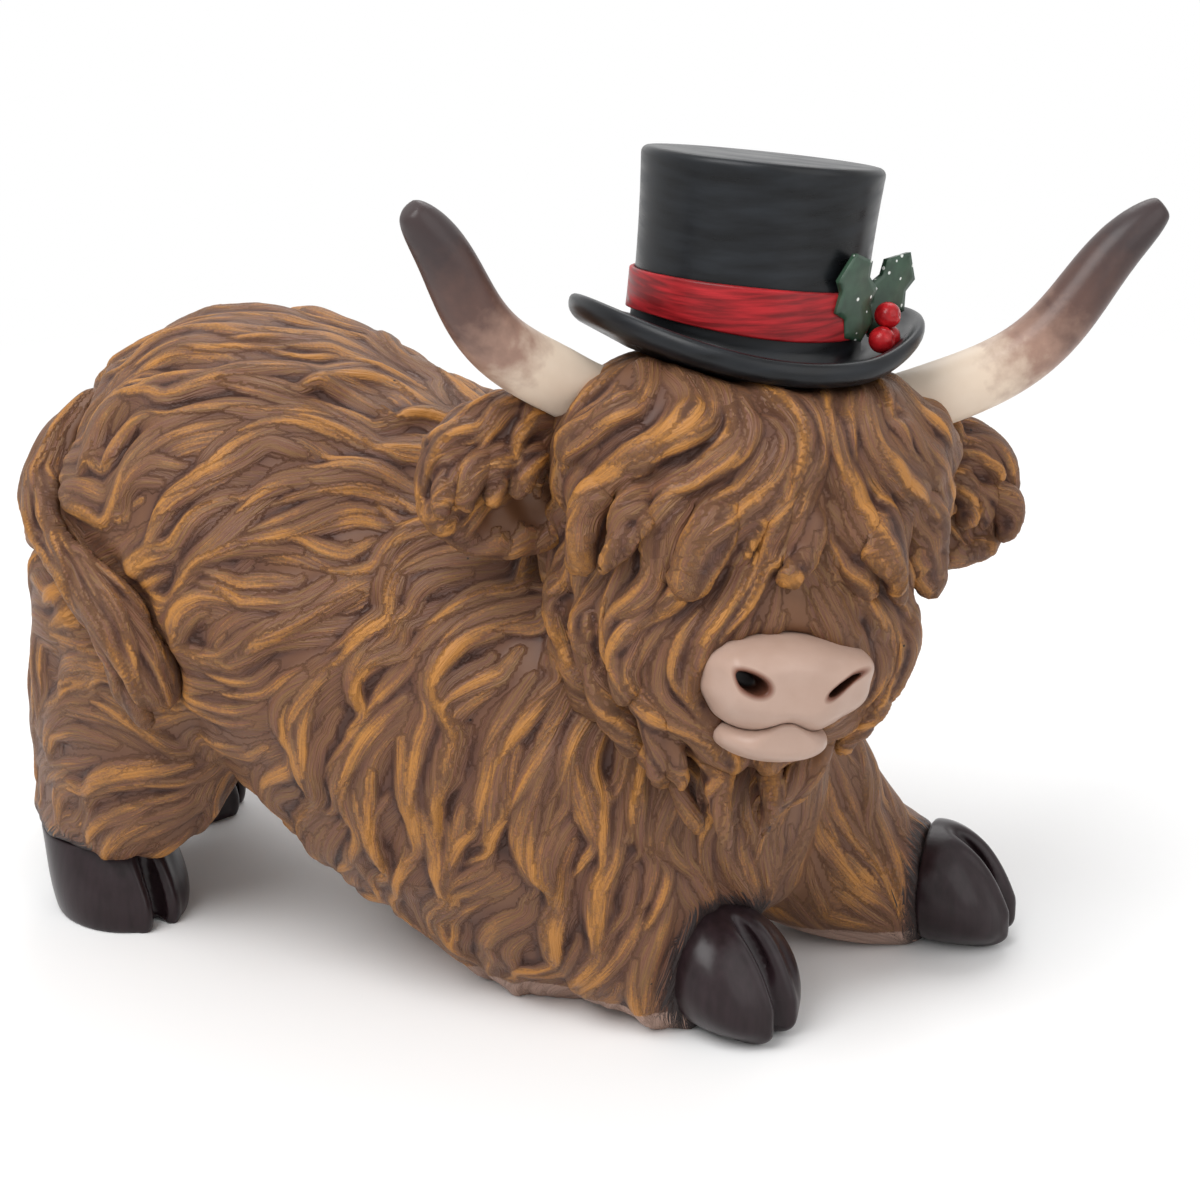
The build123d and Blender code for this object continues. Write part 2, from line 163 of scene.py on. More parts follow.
def rows_of(items, key, width, kind=float):
    """One row of numbers for each of a mesh's items, such as every vertex's co."""
    flat = np.empty(len(items) * width, kind)
    items.foreach_get(key, flat)
    return flat.reshape(-1, width)


def points_of(mesh):
    return rows_of(mesh.vertices, "co", 3)


def normals_of(mesh):
    return rows_of(mesh.vertices, "normal", 3)


def edges_of(mesh):
    return rows_of(mesh.edges, "vertices", 2, np.int64)


def triangles_of(mesh):
    return sum(len(face.vertices) - 2 for face in mesh.polygons)


def tree_of(mesh):
    """A search tree of the mesh, for the nearest place or the place that a ray meets."""
    return BVHTree.FromPolygons(
        [v.co for v in mesh.vertices], [tuple(face.vertices) for face in mesh.polygons]
    )


def set_points(mesh, points):
    mesh.vertices.foreach_set("co", np.ascontiguousarray(points, np.float32).ravel())
    mesh.update()


def evened(values, edges, rounds):
    """Moves each row of values half-way to the mean of its neighbours' rows, again and again."""
    count = np.bincount(edges.ravel(), minlength=len(values)).clip(1)
    first, second = edges[:, 0], edges[:, 1]
    for _ in range(rounds):
        for column in range(values.shape[1]):
            row = values[:, column]
            total = np.bincount(first, row[second], len(row)) + np.bincount(second, row[first], len(row))
            values[:, column] = row + 0.5 * (total / count - row)
    return values


def smoothed(piece, rounds):
    """Smooths the piece, then grows it back by what the smoothing took off on average."""
    mesh = piece.data
    before = points_of(mesh)
    after = evened(before.copy(), edges_of(mesh), rounds)
    set_points(mesh, after)
    normals = normals_of(mesh)
    lost = np.median(((before - after) * normals).sum(1))
    set_points(mesh, after + normals * lost)
    return piece


def clay(name, node_names, voxel, rounds):
    """Copies of the named solids as one even skin, smoothed."""
    piece = joined_copy(name, node_names)
    remesh(piece, voxel)
    return smoothed(piece, rounds)


def ramp(values, start, end):
    """0 before start and 1 after end, with a smooth rise between."""
    share = np.clip((values - start) / (end - start), 0, 1)
    return share * share * (3 - 2 * share)


def nearest_on(path, spots):
    """For each spot: the path's nearest leg, how far along that leg, the gap to it; then leg sizes."""
    start, run = path[:-1], np.diff(path, axis=0)
    offset = spots[:, None] - start
    share = np.clip((offset * run).sum(2) / (run * run).sum(1), 0, 1)
    gap = offset - share[..., None] * run
    leg = (gap * gap).sum(2).argmin(1)
    rows = np.arange(len(spots))
    return leg, share[rows, leg], gap[rows, leg], np.sqrt((run * run).sum(1))


def set_layer(mesh, name, values):
    """Writes one number per point for the paint to read."""
    layer = mesh.attributes.new(name, "FLOAT", "POINT")
    layer.data.foreach_set("value", values.astype(np.float32))


# %% [markdown]
# ## Carving locks of hair
# The coat is several thousand overlapping locks, each a curved tapering ridge that lies over the
# root of the next. Particle hair would give fibres, and a noise texture would give no locks at all,
# so the script works as the sculptor did. It spreads seeds evenly over the clay, lets each one
# walk along the lie of the coat for the length of a lock while it swings to and fro, and then
# raises the clay along that walk. Where locks overlap, the higher one wins.
#
# A sculptor works from coarse to fine, and so does this: first broad locks, then thin strands that
# follow the broad lock they lie on. Each point also keeps how far along and across its strand it
# is, for the painter's brush to follow.

# %% Seeds and walks
def spread_seeds(points, wanted, spacing, chance):
    """Indices of points at least a spacing apart, picked in a random but repeatable order."""
    taken, seeds = {}, []
    cells = np.floor(points / spacing).astype(int)
    # this many candidates leave no gap, even on the largest skin
    most = 60000
    for index in chance.permutation(np.flatnonzero(wanted))[:most]:
        cx, cy, cz = cells[index]
        near = (
            taken.get((cx + i, cy + j, cz + k))
            for i in (-1, 0, 1) for j in (-1, 0, 1) for k in (-1, 0, 1)
        )
        here = points[index]
        if all(other is None or ((other - here) ** 2).sum() > spacing ** 2 for other in near):
            taken[(cx, cy, cz)] = here
            seeds.append(index)
    return seeds


def walk(tree, start, normal, lie, length, swing, wave, drift):
    """Points, directions and normals along the surface, swinging to and fro off the lie of the hair.

    A wave is a function of a place, so that neighbours swing together. Without one, each lock swings
    once over its own length.
    """
    step = 1.2 * MM
    count = max(4, round(length / step))
    here, up = Vector(start), Vector(normal)
    points, ways, ups = [], [], []
    for number in range(count + 1):
        way = lie(here, up)
        way = way - up * way.dot(up)
        if way.length < 1e-4:
            break
        way.normalize()
        # drift turns whole neighbourhoods of locks together, over about 20 mm
        phase = wave(here) if wave else math.cos(math.pi * number / count)
        turn = swing * phase + drift * noise.noise(here / (20 * MM))
        way.rotate(Matrix.Rotation(turn, 3, up))
        points.append(here.copy())
        ways.append(way)
        ups.append(up.copy())
        found = tree.find_nearest(here + way * step)
        if found[0] is None:
            break
        here, up = found[0], (up + found[1] * 2).normalized()
    return np.array(points), np.array(ways), np.array(ups)


# %% Raising the locks
class Coat:
    """A skin being carved: its points, and what every lock has left on them so far."""

    def __init__(self, piece, lie, grain):
        # a finer skin has a larger grain: it takes more rounds of smoothing to be as soft
        self.mesh, self.lie, self.grain = piece.data, lie, grain
        self.edges = edges_of(self.mesh)
        self.first = np.array([f.vertices[0] for f in self.mesh.polygons])
        size = len(self.mesh.vertices)
        self.broad, self.height, self.tone = np.zeros(size), np.zeros(size), np.full(size, 0.5)
        self.along, self.across, self.way = np.zeros(size), np.zeros(size), np.zeros((size, 3))
        # how much of its height a lock keeps at each point, for places under or beside another piece
        self.calm = np.ones(size)
        self.survey()

    def survey(self):
        """Reads the skin as it is now, and sorts its points into cells, to find near ones quickly."""
        self.points = points_of(self.mesh)
        self.normals = evened(normals_of(self.mesh), self.edges, 2)
        self.tree = tree_of(self.mesh)
        self.cell = 4 * MM
        keys = np.floor(self.points / self.cell).astype(int)
        order = np.lexsort(keys.T)
        starts = np.flatnonzero(np.any(np.diff(keys[order], axis=0), axis=1)) + 1
        groups = np.split(order, starts)
        self.cells = {tuple(keys[group[0]]): group for group in groups}

    def near(self, path, reach):
        """Indices of the points within reach of a path, found cell by cell."""
        cells = set()
        lows = np.floor((path[::2] - reach) / self.cell).astype(int)
        highs = np.floor((path[::2] + reach) / self.cell).astype(int)
        for low, high in zip(lows, highs):
            cells.update(
                (i, j, k)
                for i in range(low[0], high[0] + 1)
                for j in range(low[1], high[1] + 1)
                for k in range(low[2], high[2] + 1)
            )
        found = [self.cells[key] for key in sorted(cells) if key in self.cells]
        return np.concatenate(found) if found else np.empty(0, int)

    def follow(self, here, up):
        """The way of the broad lock at a place, or the lie of the hair where there is none."""
        way = Vector(self.broad_way[self.first[self.tree.find_nearest(here)[2]]])
        return way if way.length > 0.3 else self.lie(here, up)

    def raise_lock(self, path, ways, ups, width, height, ridge, tone):
        """Raises one lock: a dome across with a ridge to one side, pointed at its tip."""
        if len(path) < 4:
            return
        index = self.near(path, 0.5 * width + 1.2 * MM)
        if not len(index):
            return
        leg, share, gap, sizes = nearest_on(path, self.points[index])
        up = ups[:-1][leg]
        lift = (gap * up).sum(1)
        flat = gap - lift[:, None] * up
        side = np.cross(up, ways[:-1][leg])
        reach = np.sqrt((flat * flat).sum(1)) * np.sign((flat * side).sum(1))
        gone = (leg + share) / len(sizes)
        # about half as wide at its root, full from a third of the way on, and pointed at its tip
        half = 0.5 * width * np.minimum(1, 0.45 + 1.6 * gone) * np.clip(1 - gone ** 2.2, 0, 1) ** 0.8
        ratio = reach / np.maximum(half, 0.01 * MM)
        facing = (self.normals[index] * up).sum(1)
        inside = (np.abs(ratio) < 1) & (np.abs(lift) < 3 * MM) & (facing > 0.1)
        dome = np.clip(1 - ratio ** 2, 0, 1) ** 0.75
        dome *= 0.75 + 0.35 * np.exp(-((ratio - ridge) / 0.25) ** 2)
        # it rises from a quarter of its height to all of it at two thirds of its length
        raised = height * self.calm[index] * np.interp(gone, (0, 0.65, 1), (0.25, 1.0, 0.75)) * dome
        won = inside & (raised > self.height[index])
        index, raised = index[won], raised[won]
        self.height[index] = raised
        self.along[index] = gone[won] * sizes.sum()
        self.across[index] = reach[won]
        self.tone[index] = tone
        self.way[index] = ways[:-1][leg[won]]

    def carve(self, lie, wanted, seed, spacing, length, width, height, swing, wave=None, drift=0.0):
        """Covers the wanted points with locks of a size in millimetres; swing is a function of a place."""
        chance = np.random.default_rng(seed)
        seeds = spread_seeds(self.points, wanted, spacing * MM, chance)
        for index in seeds:
            here = self.points[index]
            size = chance.uniform(0.65, 1.35)
            path, ways, ups = walk(
                self.tree, here, self.normals[index], lie, length * size * MM,
                swing(here) * chance.uniform(0.5, 1.3), wave, drift
            )
            self.raise_lock(
                path, ways, ups, width * chance.uniform(0.7, 1.3) * size ** 0.5 * MM,
                height * chance.uniform(0.6, 1.25) * MM, chance.uniform(-0.7, 0.7), chance.random()
            )
        return len(seeds)

    def settle(self):
        """Moves the clay by what was carved so far, ready for finer strands on top of it."""
        height = evened(self.height[:, None].copy(), self.edges, 2 * self.grain)
        set_points(self.mesh, self.points + self.normals * height)
        self.broad += height[:, 0]
        self.broad_way = evened(self.way.copy(), self.edges, 3 * self.grain)
        self.height[:] = 0
        self.survey()

    def finish(self, floor=None):
        """Moves the clay by the strands, and writes what the paint needs onto the points."""
        height = evened(self.height[:, None].copy(), self.edges, self.grain)
        total = height + self.broad[:, None]
        fine = height - evened(height.copy(), self.edges, 5 * self.grain)
        lump = total - evened(total.copy(), self.edges, 30 * self.grain)
        moved = self.points + self.normals * height
        if floor is not None:
            moved[:, 2] = np.maximum(moved[:, 2], floor)
        set_points(self.mesh, moved)
        # 0.5 mm of fine relief, or a lump of 2.2 mm, is the step from a valley to a ridge
        crest = np.clip(0.5 + fine[:, 0] / (0.50 * MM) + lump[:, 0] / (2.2 * MM), 0, 1)
        for name, values in (
            ("crest", crest), ("along", self.along / MM), ("across", self.across / MM), ("tone", self.tone)
        ):
            set_layer(self.mesh, name, values)


# %% [markdown]
# ## The painted coat
# The painter laid a mauve-brown coat, then dragged a nearly dry brush of golden ochre over it, so
# that the colour caught only on the ridges, in streaks that follow the hair. The material reads the
# same things the brush met: how far a point stands proud (crest), and where it lies along and
# across its strand, which stretches the streaks along the hair. The valleys are darkened to plum,
# and the deepest to near black, as painted shade. A low wide noise says where the painter came back
# with more ochre. The satin varnish is the dielectric shine of the shader.
#
# Two more layers say where the coat's paint stops: next to a hoof, whose dark paint was brushed up
# into the hair (ink), and along the ground, where the bare casting shows (bare).

# %% Coat material
def make_coat_material(name, brown, plum_valley_shade, ochre, olive):
    material, tree, shader, place = new_material(name, Roughness=0.48, Specular_IOR_Level=0.3)
    crest, along, across, tone, ink, bare = (
        node(tree, "ShaderNodeAttribute", {}, out="Fac", attribute_name=layer)
        for layer in ("crest", "along", "across", "tone", "ink", "bare")
    )
    brush = node(tree, "ShaderNodeCombineXYZ", {0: across, 1: along, 2: tone})
    # streaks 0.5 mm across and about 8 mm long, and hairs half as wide
    path = node(tree, "ShaderNodeMapping", {"Vector": brush, "Scale": (2.0, 0.13, 40.0)})
    streak = node(tree, "ShaderNodeTexNoise", {"Vector": path, "Scale": 1.0, "Detail": 3.0})
    path = node(tree, "ShaderNodeMapping", {"Vector": brush, "Scale": (4.2, 0.16, 40.0)})
    hair = node(tree, "ShaderNodeTexNoise", {"Vector": path, "Scale": 1.0, "Detail": 2.0})
    # patches about 12 mm wide, where the painter came back
    patch = node(tree, "ShaderNodeTexNoise", {"Vector": place, "Scale": 85.0, "Detail": 2.0})
    # the casting's grain, 0.4 mm wide
    grit = node(tree, "ShaderNodeTexNoise", {"Vector": place, "Scale": 2600.0, "Detail": 2.0})
    caught = crest
    for layer, weight in ((streak, 1.1), (patch, 1.3), (tone, 0.40), (grit, 0.7)):
        caught = node(tree, "ShaderNodeMath", {0: layer, 1: weight, 2: caught}, operation="MULTIPLY_ADD")
    gold = node(
        tree, "ShaderNodeMapRange", {"Value": caught, 1: 2.28, 2: 3.00, 3: 0.0, 4: 1.0},
        interpolation_type="SMOOTHSTEP",
    )
    # the hoof's paint ends in brush marks, and the bare strip in a ragged edge
    mark = node(tree, "ShaderNodeMath", {0: hair, 1: 1.6, 2: ink}, operation="MULTIPLY_ADD")
    edge = node(tree, "ShaderNodeMath", {0: grit, 1: 0.8, 2: bare}, operation="MULTIPLY_ADD")
    # each coat of paint, and each of painted shade: what says where it goes, the values between which it
    # comes in, its strength at both, and its colour; plum and near black darken the valleys as painted
    # shade
    coats = (
        (hair, 0.40, 0.64, 0.0, 1.0, olive), (crest, 0.10, 0.50, 1.0, 0.0, plum_valley_shade),
        (crest, 0.0, 0.18, 0.8, 0.0, "#38221a"), (gold, 0.0, 1.0, 0.0, 1.0, ochre),
        (edge, 0.80, 1.05, 0.0, 1.0, "#a08375"), (mark, 1.42, 1.52, 0.0, 1.0, "#2e2524"),
    )
    paint = colour(brown)
    for sign, start, end, first, last, code in coats:
        share = node(tree, "ShaderNodeMapRange", {"Value": sign, 1: start, 2: end, 3: first, 4: last})
        paint = node(
            tree, "ShaderNodeMix", {0: share, MIX_A: paint, MIX_B: colour(code)},
            out=MIX_OUT, data_type="RGBA",
        )
    # pin-holes 0.4 mm wide where a bubble burst, in about one 5 mm cell out of four, painted near black as
    # painted shade
    middle = node(tree, "ShaderNodeTexVoronoi", {"Vector": place, "Scale": 200.0}, out="Distance")
    chance = middle.node.outputs["Color"]
    lucky = node(tree, "ShaderNodeMath", {0: chance, 1: 0.72}, operation="GREATER_THAN")
    pinhole_shade = node(tree, "ShaderNodeMapRange", {"Value": middle, 1: 0.035, 2: 0.05, 3: 1.0, 4: 0.0})
    pinhole_shade = node(tree, "ShaderNodeMath", {0: pinhole_shade, 1: lucky}, operation="MULTIPLY")
    paint = node(
        tree, "ShaderNodeMix", {0: pinhole_shade, MIX_A: paint, MIX_B: colour("#170e0b")},
        out=MIX_OUT, data_type="RGBA",
    )
    tree.links.new(paint, shader.inputs["Base Color"])
    relief = node(tree, "ShaderNodeMath", {0: hair, 1: 0.6, 2: streak}, operation="MULTIPLY_ADD")
    bump = node(tree, "ShaderNodeBump", {"Height": relief, "Strength": 0.6, "Distance": 0.8 * MM})
    tree.links.new(bump, shader.inputs["Normal"])
    return material


coat_paint = make_coat_material("polyresin_dry_brushed_coat_with_painted_shade", "#6e4938", "#55372b", "#ad763a", "#775634")

# %% [markdown]
# ## Fitting a finished piece
# Every piece gets its paint, the body it rides on and the solids it stands for. One function does
# all of it, and prints how many triangles the piece has.

# %% Fit a piece
def fit(piece, material, slot_name, *node_names):
    piece.data.materials.clear()
    piece.data.materials.append(material)
    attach(piece, "root")
    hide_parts(*node_names)
    print(piece.name, triangles_of(piece.data), "triangles")


# %% [markdown]
# ## The body's coat
# Torso and legs are one casting on the real ornament, with no joint line, so their solids are
# remeshed together. The hair runs back over the spine, down the flanks and straight down the chest
# and forelegs, and on the hind legs it runs back and down to the hoof.

# %% Body clay
body_voxel = 0.51 * MM
body_nodes = ["torso", "foreleg_left", "foreleg_right", "hindleg_left", "hindleg_right"]
body = clay("coat_body", body_nodes, 1.3 * MM, 9)
remesh(body, body_voxel)
smoothed(body, 5)
print("body clay:", len(body.data.vertices), "points")


# %% Lie of the body's coat
def body_lie(here, up):
    """Which way the hair lies at a place on the body, with its normal."""
    x, y, z = here / MM
    left = 1 if y > 4 else -1
    chest = float(ramp(x, -62, -12))
    low = float(ramp(-z, -62, -22))
    # back along the flanks, and down on the chest
    back = Vector((-1.0, 0.28 * left * max(0, up.z), -0.50 - 0.35 * low))
    down = Vector((-0.28, 0.0, -1.0))
    way = back.lerp(down, chest * (1 - 0.75 * max(0, up.z)))
    # back on the haunches, and down on the hind legs
    if x < -52 and z < 62:
        leg = float(ramp(-z, -34, -20))
        leg_way = Vector((-0.95, 0, -0.30)).lerp(Vector((-0.45, 0, -0.9)), leg)
        way = way.lerp(leg_way, float(ramp(-x, 52, 66)))
    # straight down behind, and over the forelegs
    rump = float(ramp(-x, 90, 100)) * float(ramp(z, 30, 50))
    way = way.lerp(Vector((0, 0.1 * left, -1)), rump)
    fore = float(ramp(x, 14, 26)) * float(ramp(-z, -44, -32))
    way = way.lerp(Vector((0.30, 0, -1.0)) + Vector((up.x, up.y, 0)) * 0.3, fore)
    return way


def body_swing(here):
    """Locks leave backwards and turn forwards at their tips, as one side mirrors the other."""
    return 0.75 if here[1] > 4 * MM else -0.75


def nearness(points, node_name, reach):
    """How near each point is to a solid: 1 on its surface, falling to 0 at the reach in millimetres."""
    low, high = (np.array(corner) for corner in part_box(node_name))
    beside = np.all((points > low - reach * MM) & (points < high + reach * MM), axis=1)
    solid = BVHTree.FromObject(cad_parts[node_name], bpy.context.evaluated_depsgraph_get())
    near = np.zeros(len(points))
    for index in np.flatnonzero(beside):
        near[index] = max(0, 1 - solid.find_nearest(points[index])[3] / (reach * MM))
    return near


coat = Coat(body, body_lie, 3)
on_body = coat.points[:, 2] > 1.2 * MM
# a groove beside the tail sets it off from the haunch
groove = 1.8 * MM * ramp(nearness(coat.points, "tail", 5), 0, 1)
set_points(body.data, coat.points - coat.normals * groove[:, None])
coat.survey()
coat.broad -= groove
# the relief is shallower beside the tail, on the hind legs and towards the fore hooves
x, y, z = (coat.points / MM).T
hind = ramp(-x, 55, 68) * ramp(-z, -66, -52)
shallow = np.maximum(np.maximum(0.25 * hind, 0.4 * ramp(x, 18, 32)), groove / (2.4 * MM))
coat.calm = 1 - shallow
locks = coat.carve(
    body_lie, on_body, seed=11, spacing=9.0, length=32, width=10.5, height=1.8, swing=body_swing,
    drift=0.8,
)
coat.settle()
strands = coat.carve(
    coat.follow, on_body, seed=12, spacing=4.2, length=22, width=3.8, height=0.85,
    swing=lambda here: 0.15,
)
coat.finish(floor=0.0)
low_edge = ramp(-coat.points[:, 2] / MM, -6.0, -4.0) * ramp(coat.points[:, 0] / MM, -60, -40)
set_layer(body.data, "bare", low_edge)
hoof_names = ("fore_hoof_left", "fore_hoof_right", "hind_hoof_left", "hind_hoof_right")
set_layer(body.data, "ink", np.max([nearness(coat.points, name, 7) for name in hoof_names], axis=0))
print("body locks:", locks, "strands:", strands, "highest", round(coat.broad.max() / MM, 2), "mm")


# %% Cut the body's coat into manageable pieces
def cut_out(source, name, low_x, high_x):
    """A closed piece of a mesh between two planes across X, shaded with the whole mesh's normals."""
    bm = bmesh.new()
    bm.from_mesh(source.data)
    for place, way in ((low_x, -1), (high_x, 1)):
        if place is None:
            continue
        cut = bmesh.ops.bisect_plane(
            bm, geom=bm.verts[:] + bm.edges[:] + bm.faces[:], dist=1e-7,
            plane_co=(place, 0, 0), plane_no=(way, 0, 0), clear_outer=True,
        )
        rim = [e for e in cut["geom_cut"] if isinstance(e, bmesh.types.BMEdge)]
        bmesh.ops.holes_fill(bm, edges=rim, sides=0)
    piece = finished(bm, name)
    mesh = piece.data
    whole = rows_of(mesh.attributes["whole_normal"].data, "vector", 3, np.float32)
    mesh.normals_split_custom_set_from_vertices(whole / np.linalg.norm(whole, axis=1, keepdims=True))
    mesh.attributes.remove(mesh.attributes["whole_normal"])
    return piece


layer = body.data.attributes.new("whole_normal", "FLOAT_VECTOR", "POINT")
layer.data.foreach_set("vector", normals_of(body.data).astype(np.float32).ravel())
rump_cut, chest_cut = -58 * MM, -14 * MM
for name, low_x, high_x, node_names in (
    ("coat_rump_and_hindlegs", None, rump_cut, ("torso", "hindleg_left", "hindleg_right")),
    ("coat_back_and_belly", rump_cut, chest_cut, ("torso",)),
    ("coat_chest_and_forelegs", chest_cut, None, ("torso", "foreleg_left", "foreleg_right")),
):
    fit(cut_out(body, name, low_x, high_x), coat_paint, "coat", *node_names)
bpy.data.objects.remove(body)

# %% [markdown]
# ## The head's coat
# The head is a casting of its own, with finer and deeper locks. From under the hat the mop falls
# over the eyes, parting to both sides and curling back in at the tips. Below it the hair starts at
# the bridge of the nose and sweeps round the cheeks to the chin. Neighbouring locks wave together.

# %% Head frame and lie
head_turn = Euler((0, 0, math.radians(-50))).to_matrix() @ Euler((0, math.radians(-8), 0)).to_matrix()
head_turn = head_turn @ Euler((math.radians(-9), 0, 0)).to_matrix()
head_middle = Vector((20.7, -6.8, 83.7)) * MM
hat_seat = head_middle + head_turn @ (Vector((0, 0.6, 27)) * MM)


def in_head(here):
    """A place in the head's own frame, in millimetres: forward, left and up from its middle."""
    return head_turn.transposed() @ (Vector(here) - head_middle) / MM


def head_points(points):
    """The same for many places, one row each."""
    return (points - np.array(head_middle)) @ np.array(head_turn) / MM


def head_lie(here, up):
    """The mop falls away from the crown; on the face the hair leaves the bridge, and hangs at the chin."""
    forward, left, high = in_head(here)
    crown = Vector((forward - 2, left - 0.6, high - 34))
    bridge = Vector((forward - 30, left, high + 1))
    face = float(ramp(-high, 2, 10)) * float(ramp(forward, -4, 8))
    mop_way = crown.normalized() + Vector((0, 0, -0.35))
    face_way = Vector((-0.2, 1.1 * bridge.y / 20, bridge.z / 20 - 0.55))
    chin = float(ramp(-high, 14, 28))
    face_way = face_way.lerp(Vector((0.15, -0.6 * left / 20, -1)), chin)
    return head_turn @ mop_way.lerp(face_way, face)


def head_swing(here):
    return 0.7 if in_head(here)[1] > 0 else -0.7


def head_wave(here):
    """Outwards at the hat, inwards over the brow, outwards at the fringe, then in round the cheeks."""
    gone = (in_head(here) - Vector((2, 0.6, 34))).length
    fringe = 38.0
    if gone < fringe:
        return math.cos(2 * math.pi * (fringe - gone) / 28)
    return math.cos(2 * math.pi * (gone - fringe) / 60)


# %% [markdown]
# ### Locks with free tips
# Along the fringe, the jaw and the ears, and at the end of the tail, the locks end in free points
# that stand off the surface and throw a shadow. Those are modelled as the sculptor would: a roll of
# clay, drawn to a point, laid on and worked in. Each is a ball stretched along a curve, and the next
# remesh works it in.

# %% Rolls of clay
def from_head(forward, left, high):
    """A place of the head's own frame, given in millimetres, in the ornament's frame."""
    return head_middle + head_turn @ (Vector((forward, left, high)) * MM)


def add_roll(bm, start, outward, way, length, width, thick, curl, lift=0.0):
    """Adds a roll of clay from a place along a way, curling to and fro, all sizes in millimetres."""
    here, steps = start - outward * 0.8 * MM, 12
    spine, sides = [], []
    for number in range(steps + 1):
        turned_way = way.copy()
        turned_way.rotate(Matrix.Rotation(curl * math.cos(math.pi * number / steps), 3, outward))
        spine.append(here)
        sides.append(outward.cross(turned_way))
        here = here + (turned_way * length + outward * lift) * MM / steps
    for v in bmesh.ops.create_uvsphere(bm, u_segments=14, v_segments=18, radius=1)["verts"]:
        gone = (v.co.z + 1) / 2 * steps
        before = min(int(gone), steps - 1)
        middle = spine[before].lerp(spine[before + 1], gone - before)
        taper = (1 - gone / steps) ** 0.45
        across, up = v.co.x * width / 2 * taper, v.co.y * thick / 2 * (0.4 + 0.6 * taper)
        v.co = middle + (sides[before] * across + outward * up) * MM


def lay_on(piece, rolls):
    """Presses rolls of clay onto a piece; each roll is the arguments of add_roll after its mesh."""
    bm = bmesh.new()
    bm.from_mesh(piece.data)
    for roll in rolls:
        add_roll(bm, *roll)
    bm.to_mesh(piece.data)
    bm.free()


def skin_from(tree, origin, way):
    """Where a ray in the head's own frame meets a skin, and the normal there."""
    place, normal, *_ = tree.ray_cast(from_head(*origin), head_turn @ Vector(way))
    return place, normal


# %% Head clay and locks
head = clay("coat_head", ["head"], 0.9 * MM, 6)
tree = tree_of(head.data)
chance = np.random.default_rng(20)
rolls = []
# the fringe: a row from temple to temple, where level rays from inside the brow meet the clay, left
# and right halves curling towards each other
for turn in range(-72, 61, 12):
    side = 1 if turn > 0 else -1
    ahead = math.radians(turn + chance.uniform(-3, 3))
    place, normal = skin_from(tree, (7, 0.6, 9), (math.cos(ahead), math.sin(ahead), 0))
    down = head_turn @ Vector((0.05, 0.25 * side, -1)).normalized()
    down = (down - normal * down.dot(normal)).normalized()
    length, width = chance.uniform(13, 18), chance.uniform(6, 8.5)
    rolls.append((place, normal, down, length, width, 4.4, -0.5 * side, 0.3))
# the jaw: tips that break up the edge of the face and lead into the ruff
for forward in (-8, 2, 12, 20):
    for turn in range(100, 176, 15):
        for side in (1, -1):
            angle = math.radians(turn + chance.uniform(-5, 5))
            place, normal = skin_from(tree, (forward, 0, -4), (0, side * math.sin(angle), math.cos(angle)))
            down = (head_turn @ Vector((-0.1, 0, -1)) - normal * 0.1).normalized()
            down = (down - normal * down.dot(normal) * 0.6).normalized()
            length, width = chance.uniform(12, 18), chance.uniform(5, 7.5)
            rolls.append((place, normal, down, length, width, 4.2, -0.5 * side, 0.5))
lay_on(head, rolls)
remesh(head, (0.50) * MM)
smoothed(head, 8)
coat = Coat(head, head_lie, 2)
own = head_points(coat.points)
# under the hat's brim the hair lies flat
coat.calm = 1 - 0.75 * ramp(own[:, 2], 20, 26)
cheek, mop = own[:, 2] < 0, own[:, 2] > 12
locks = 0
# where, then seed, spacing, length, width and height of the locks, and how far they drift
for where, seed, spacing, length, width, height, drift in (
    (cheek, 21, 5.5, 26, 6.0, 1.5, 0.3),
    (~cheek & ~mop, 22, 6.5, 26, 7.0, 2.2, 0.2),
    (mop, 23, 7.0, 34, 8.0, 2.8, 0.2),
):
    locks += coat.carve(
        head_lie, where, seed, spacing, length, width, height, head_swing, head_wave, drift
    )
coat.settle()
strands = coat.carve(
    coat.follow, np.ones(len(own), bool), seed=24, spacing=3.7, length=19, width=3.4, height=0.8,
    swing=lambda here: 0.1,
)
coat.finish()
fit(head, coat_paint, "coat", "head")
print("head locks:", locks, "strands:", strands)

# %% [markdown]
# ## Ears
# Each ear is a soft leaf: overlapping locks hang over its upper half and end in a scalloped step,
# and the lower half is a shallow bowl with a thick rim. The bowl is pressed in by moving points
# along the way the ear faces, as a thumb would press clay, and then the locks are carved over it.

# %% Ears
head_size = Vector((54, 56.5, 70))
# where an ear leaves the head, and how far it sinks for each millimetre outwards
ear_root_out, ear_root_up, ear_droop = 0.36 * head_size.y, 11.2, 0.29
ear_voxel = 0.4 * MM


def ear_lie(here, up):
    side = 1 if in_head(here)[1] > 0 else -1
    return head_turn @ Vector((0, side * 0.75, -0.8))


def ear_swing(here):
    return 0.8 if in_head(here)[1] > 0 else -0.8


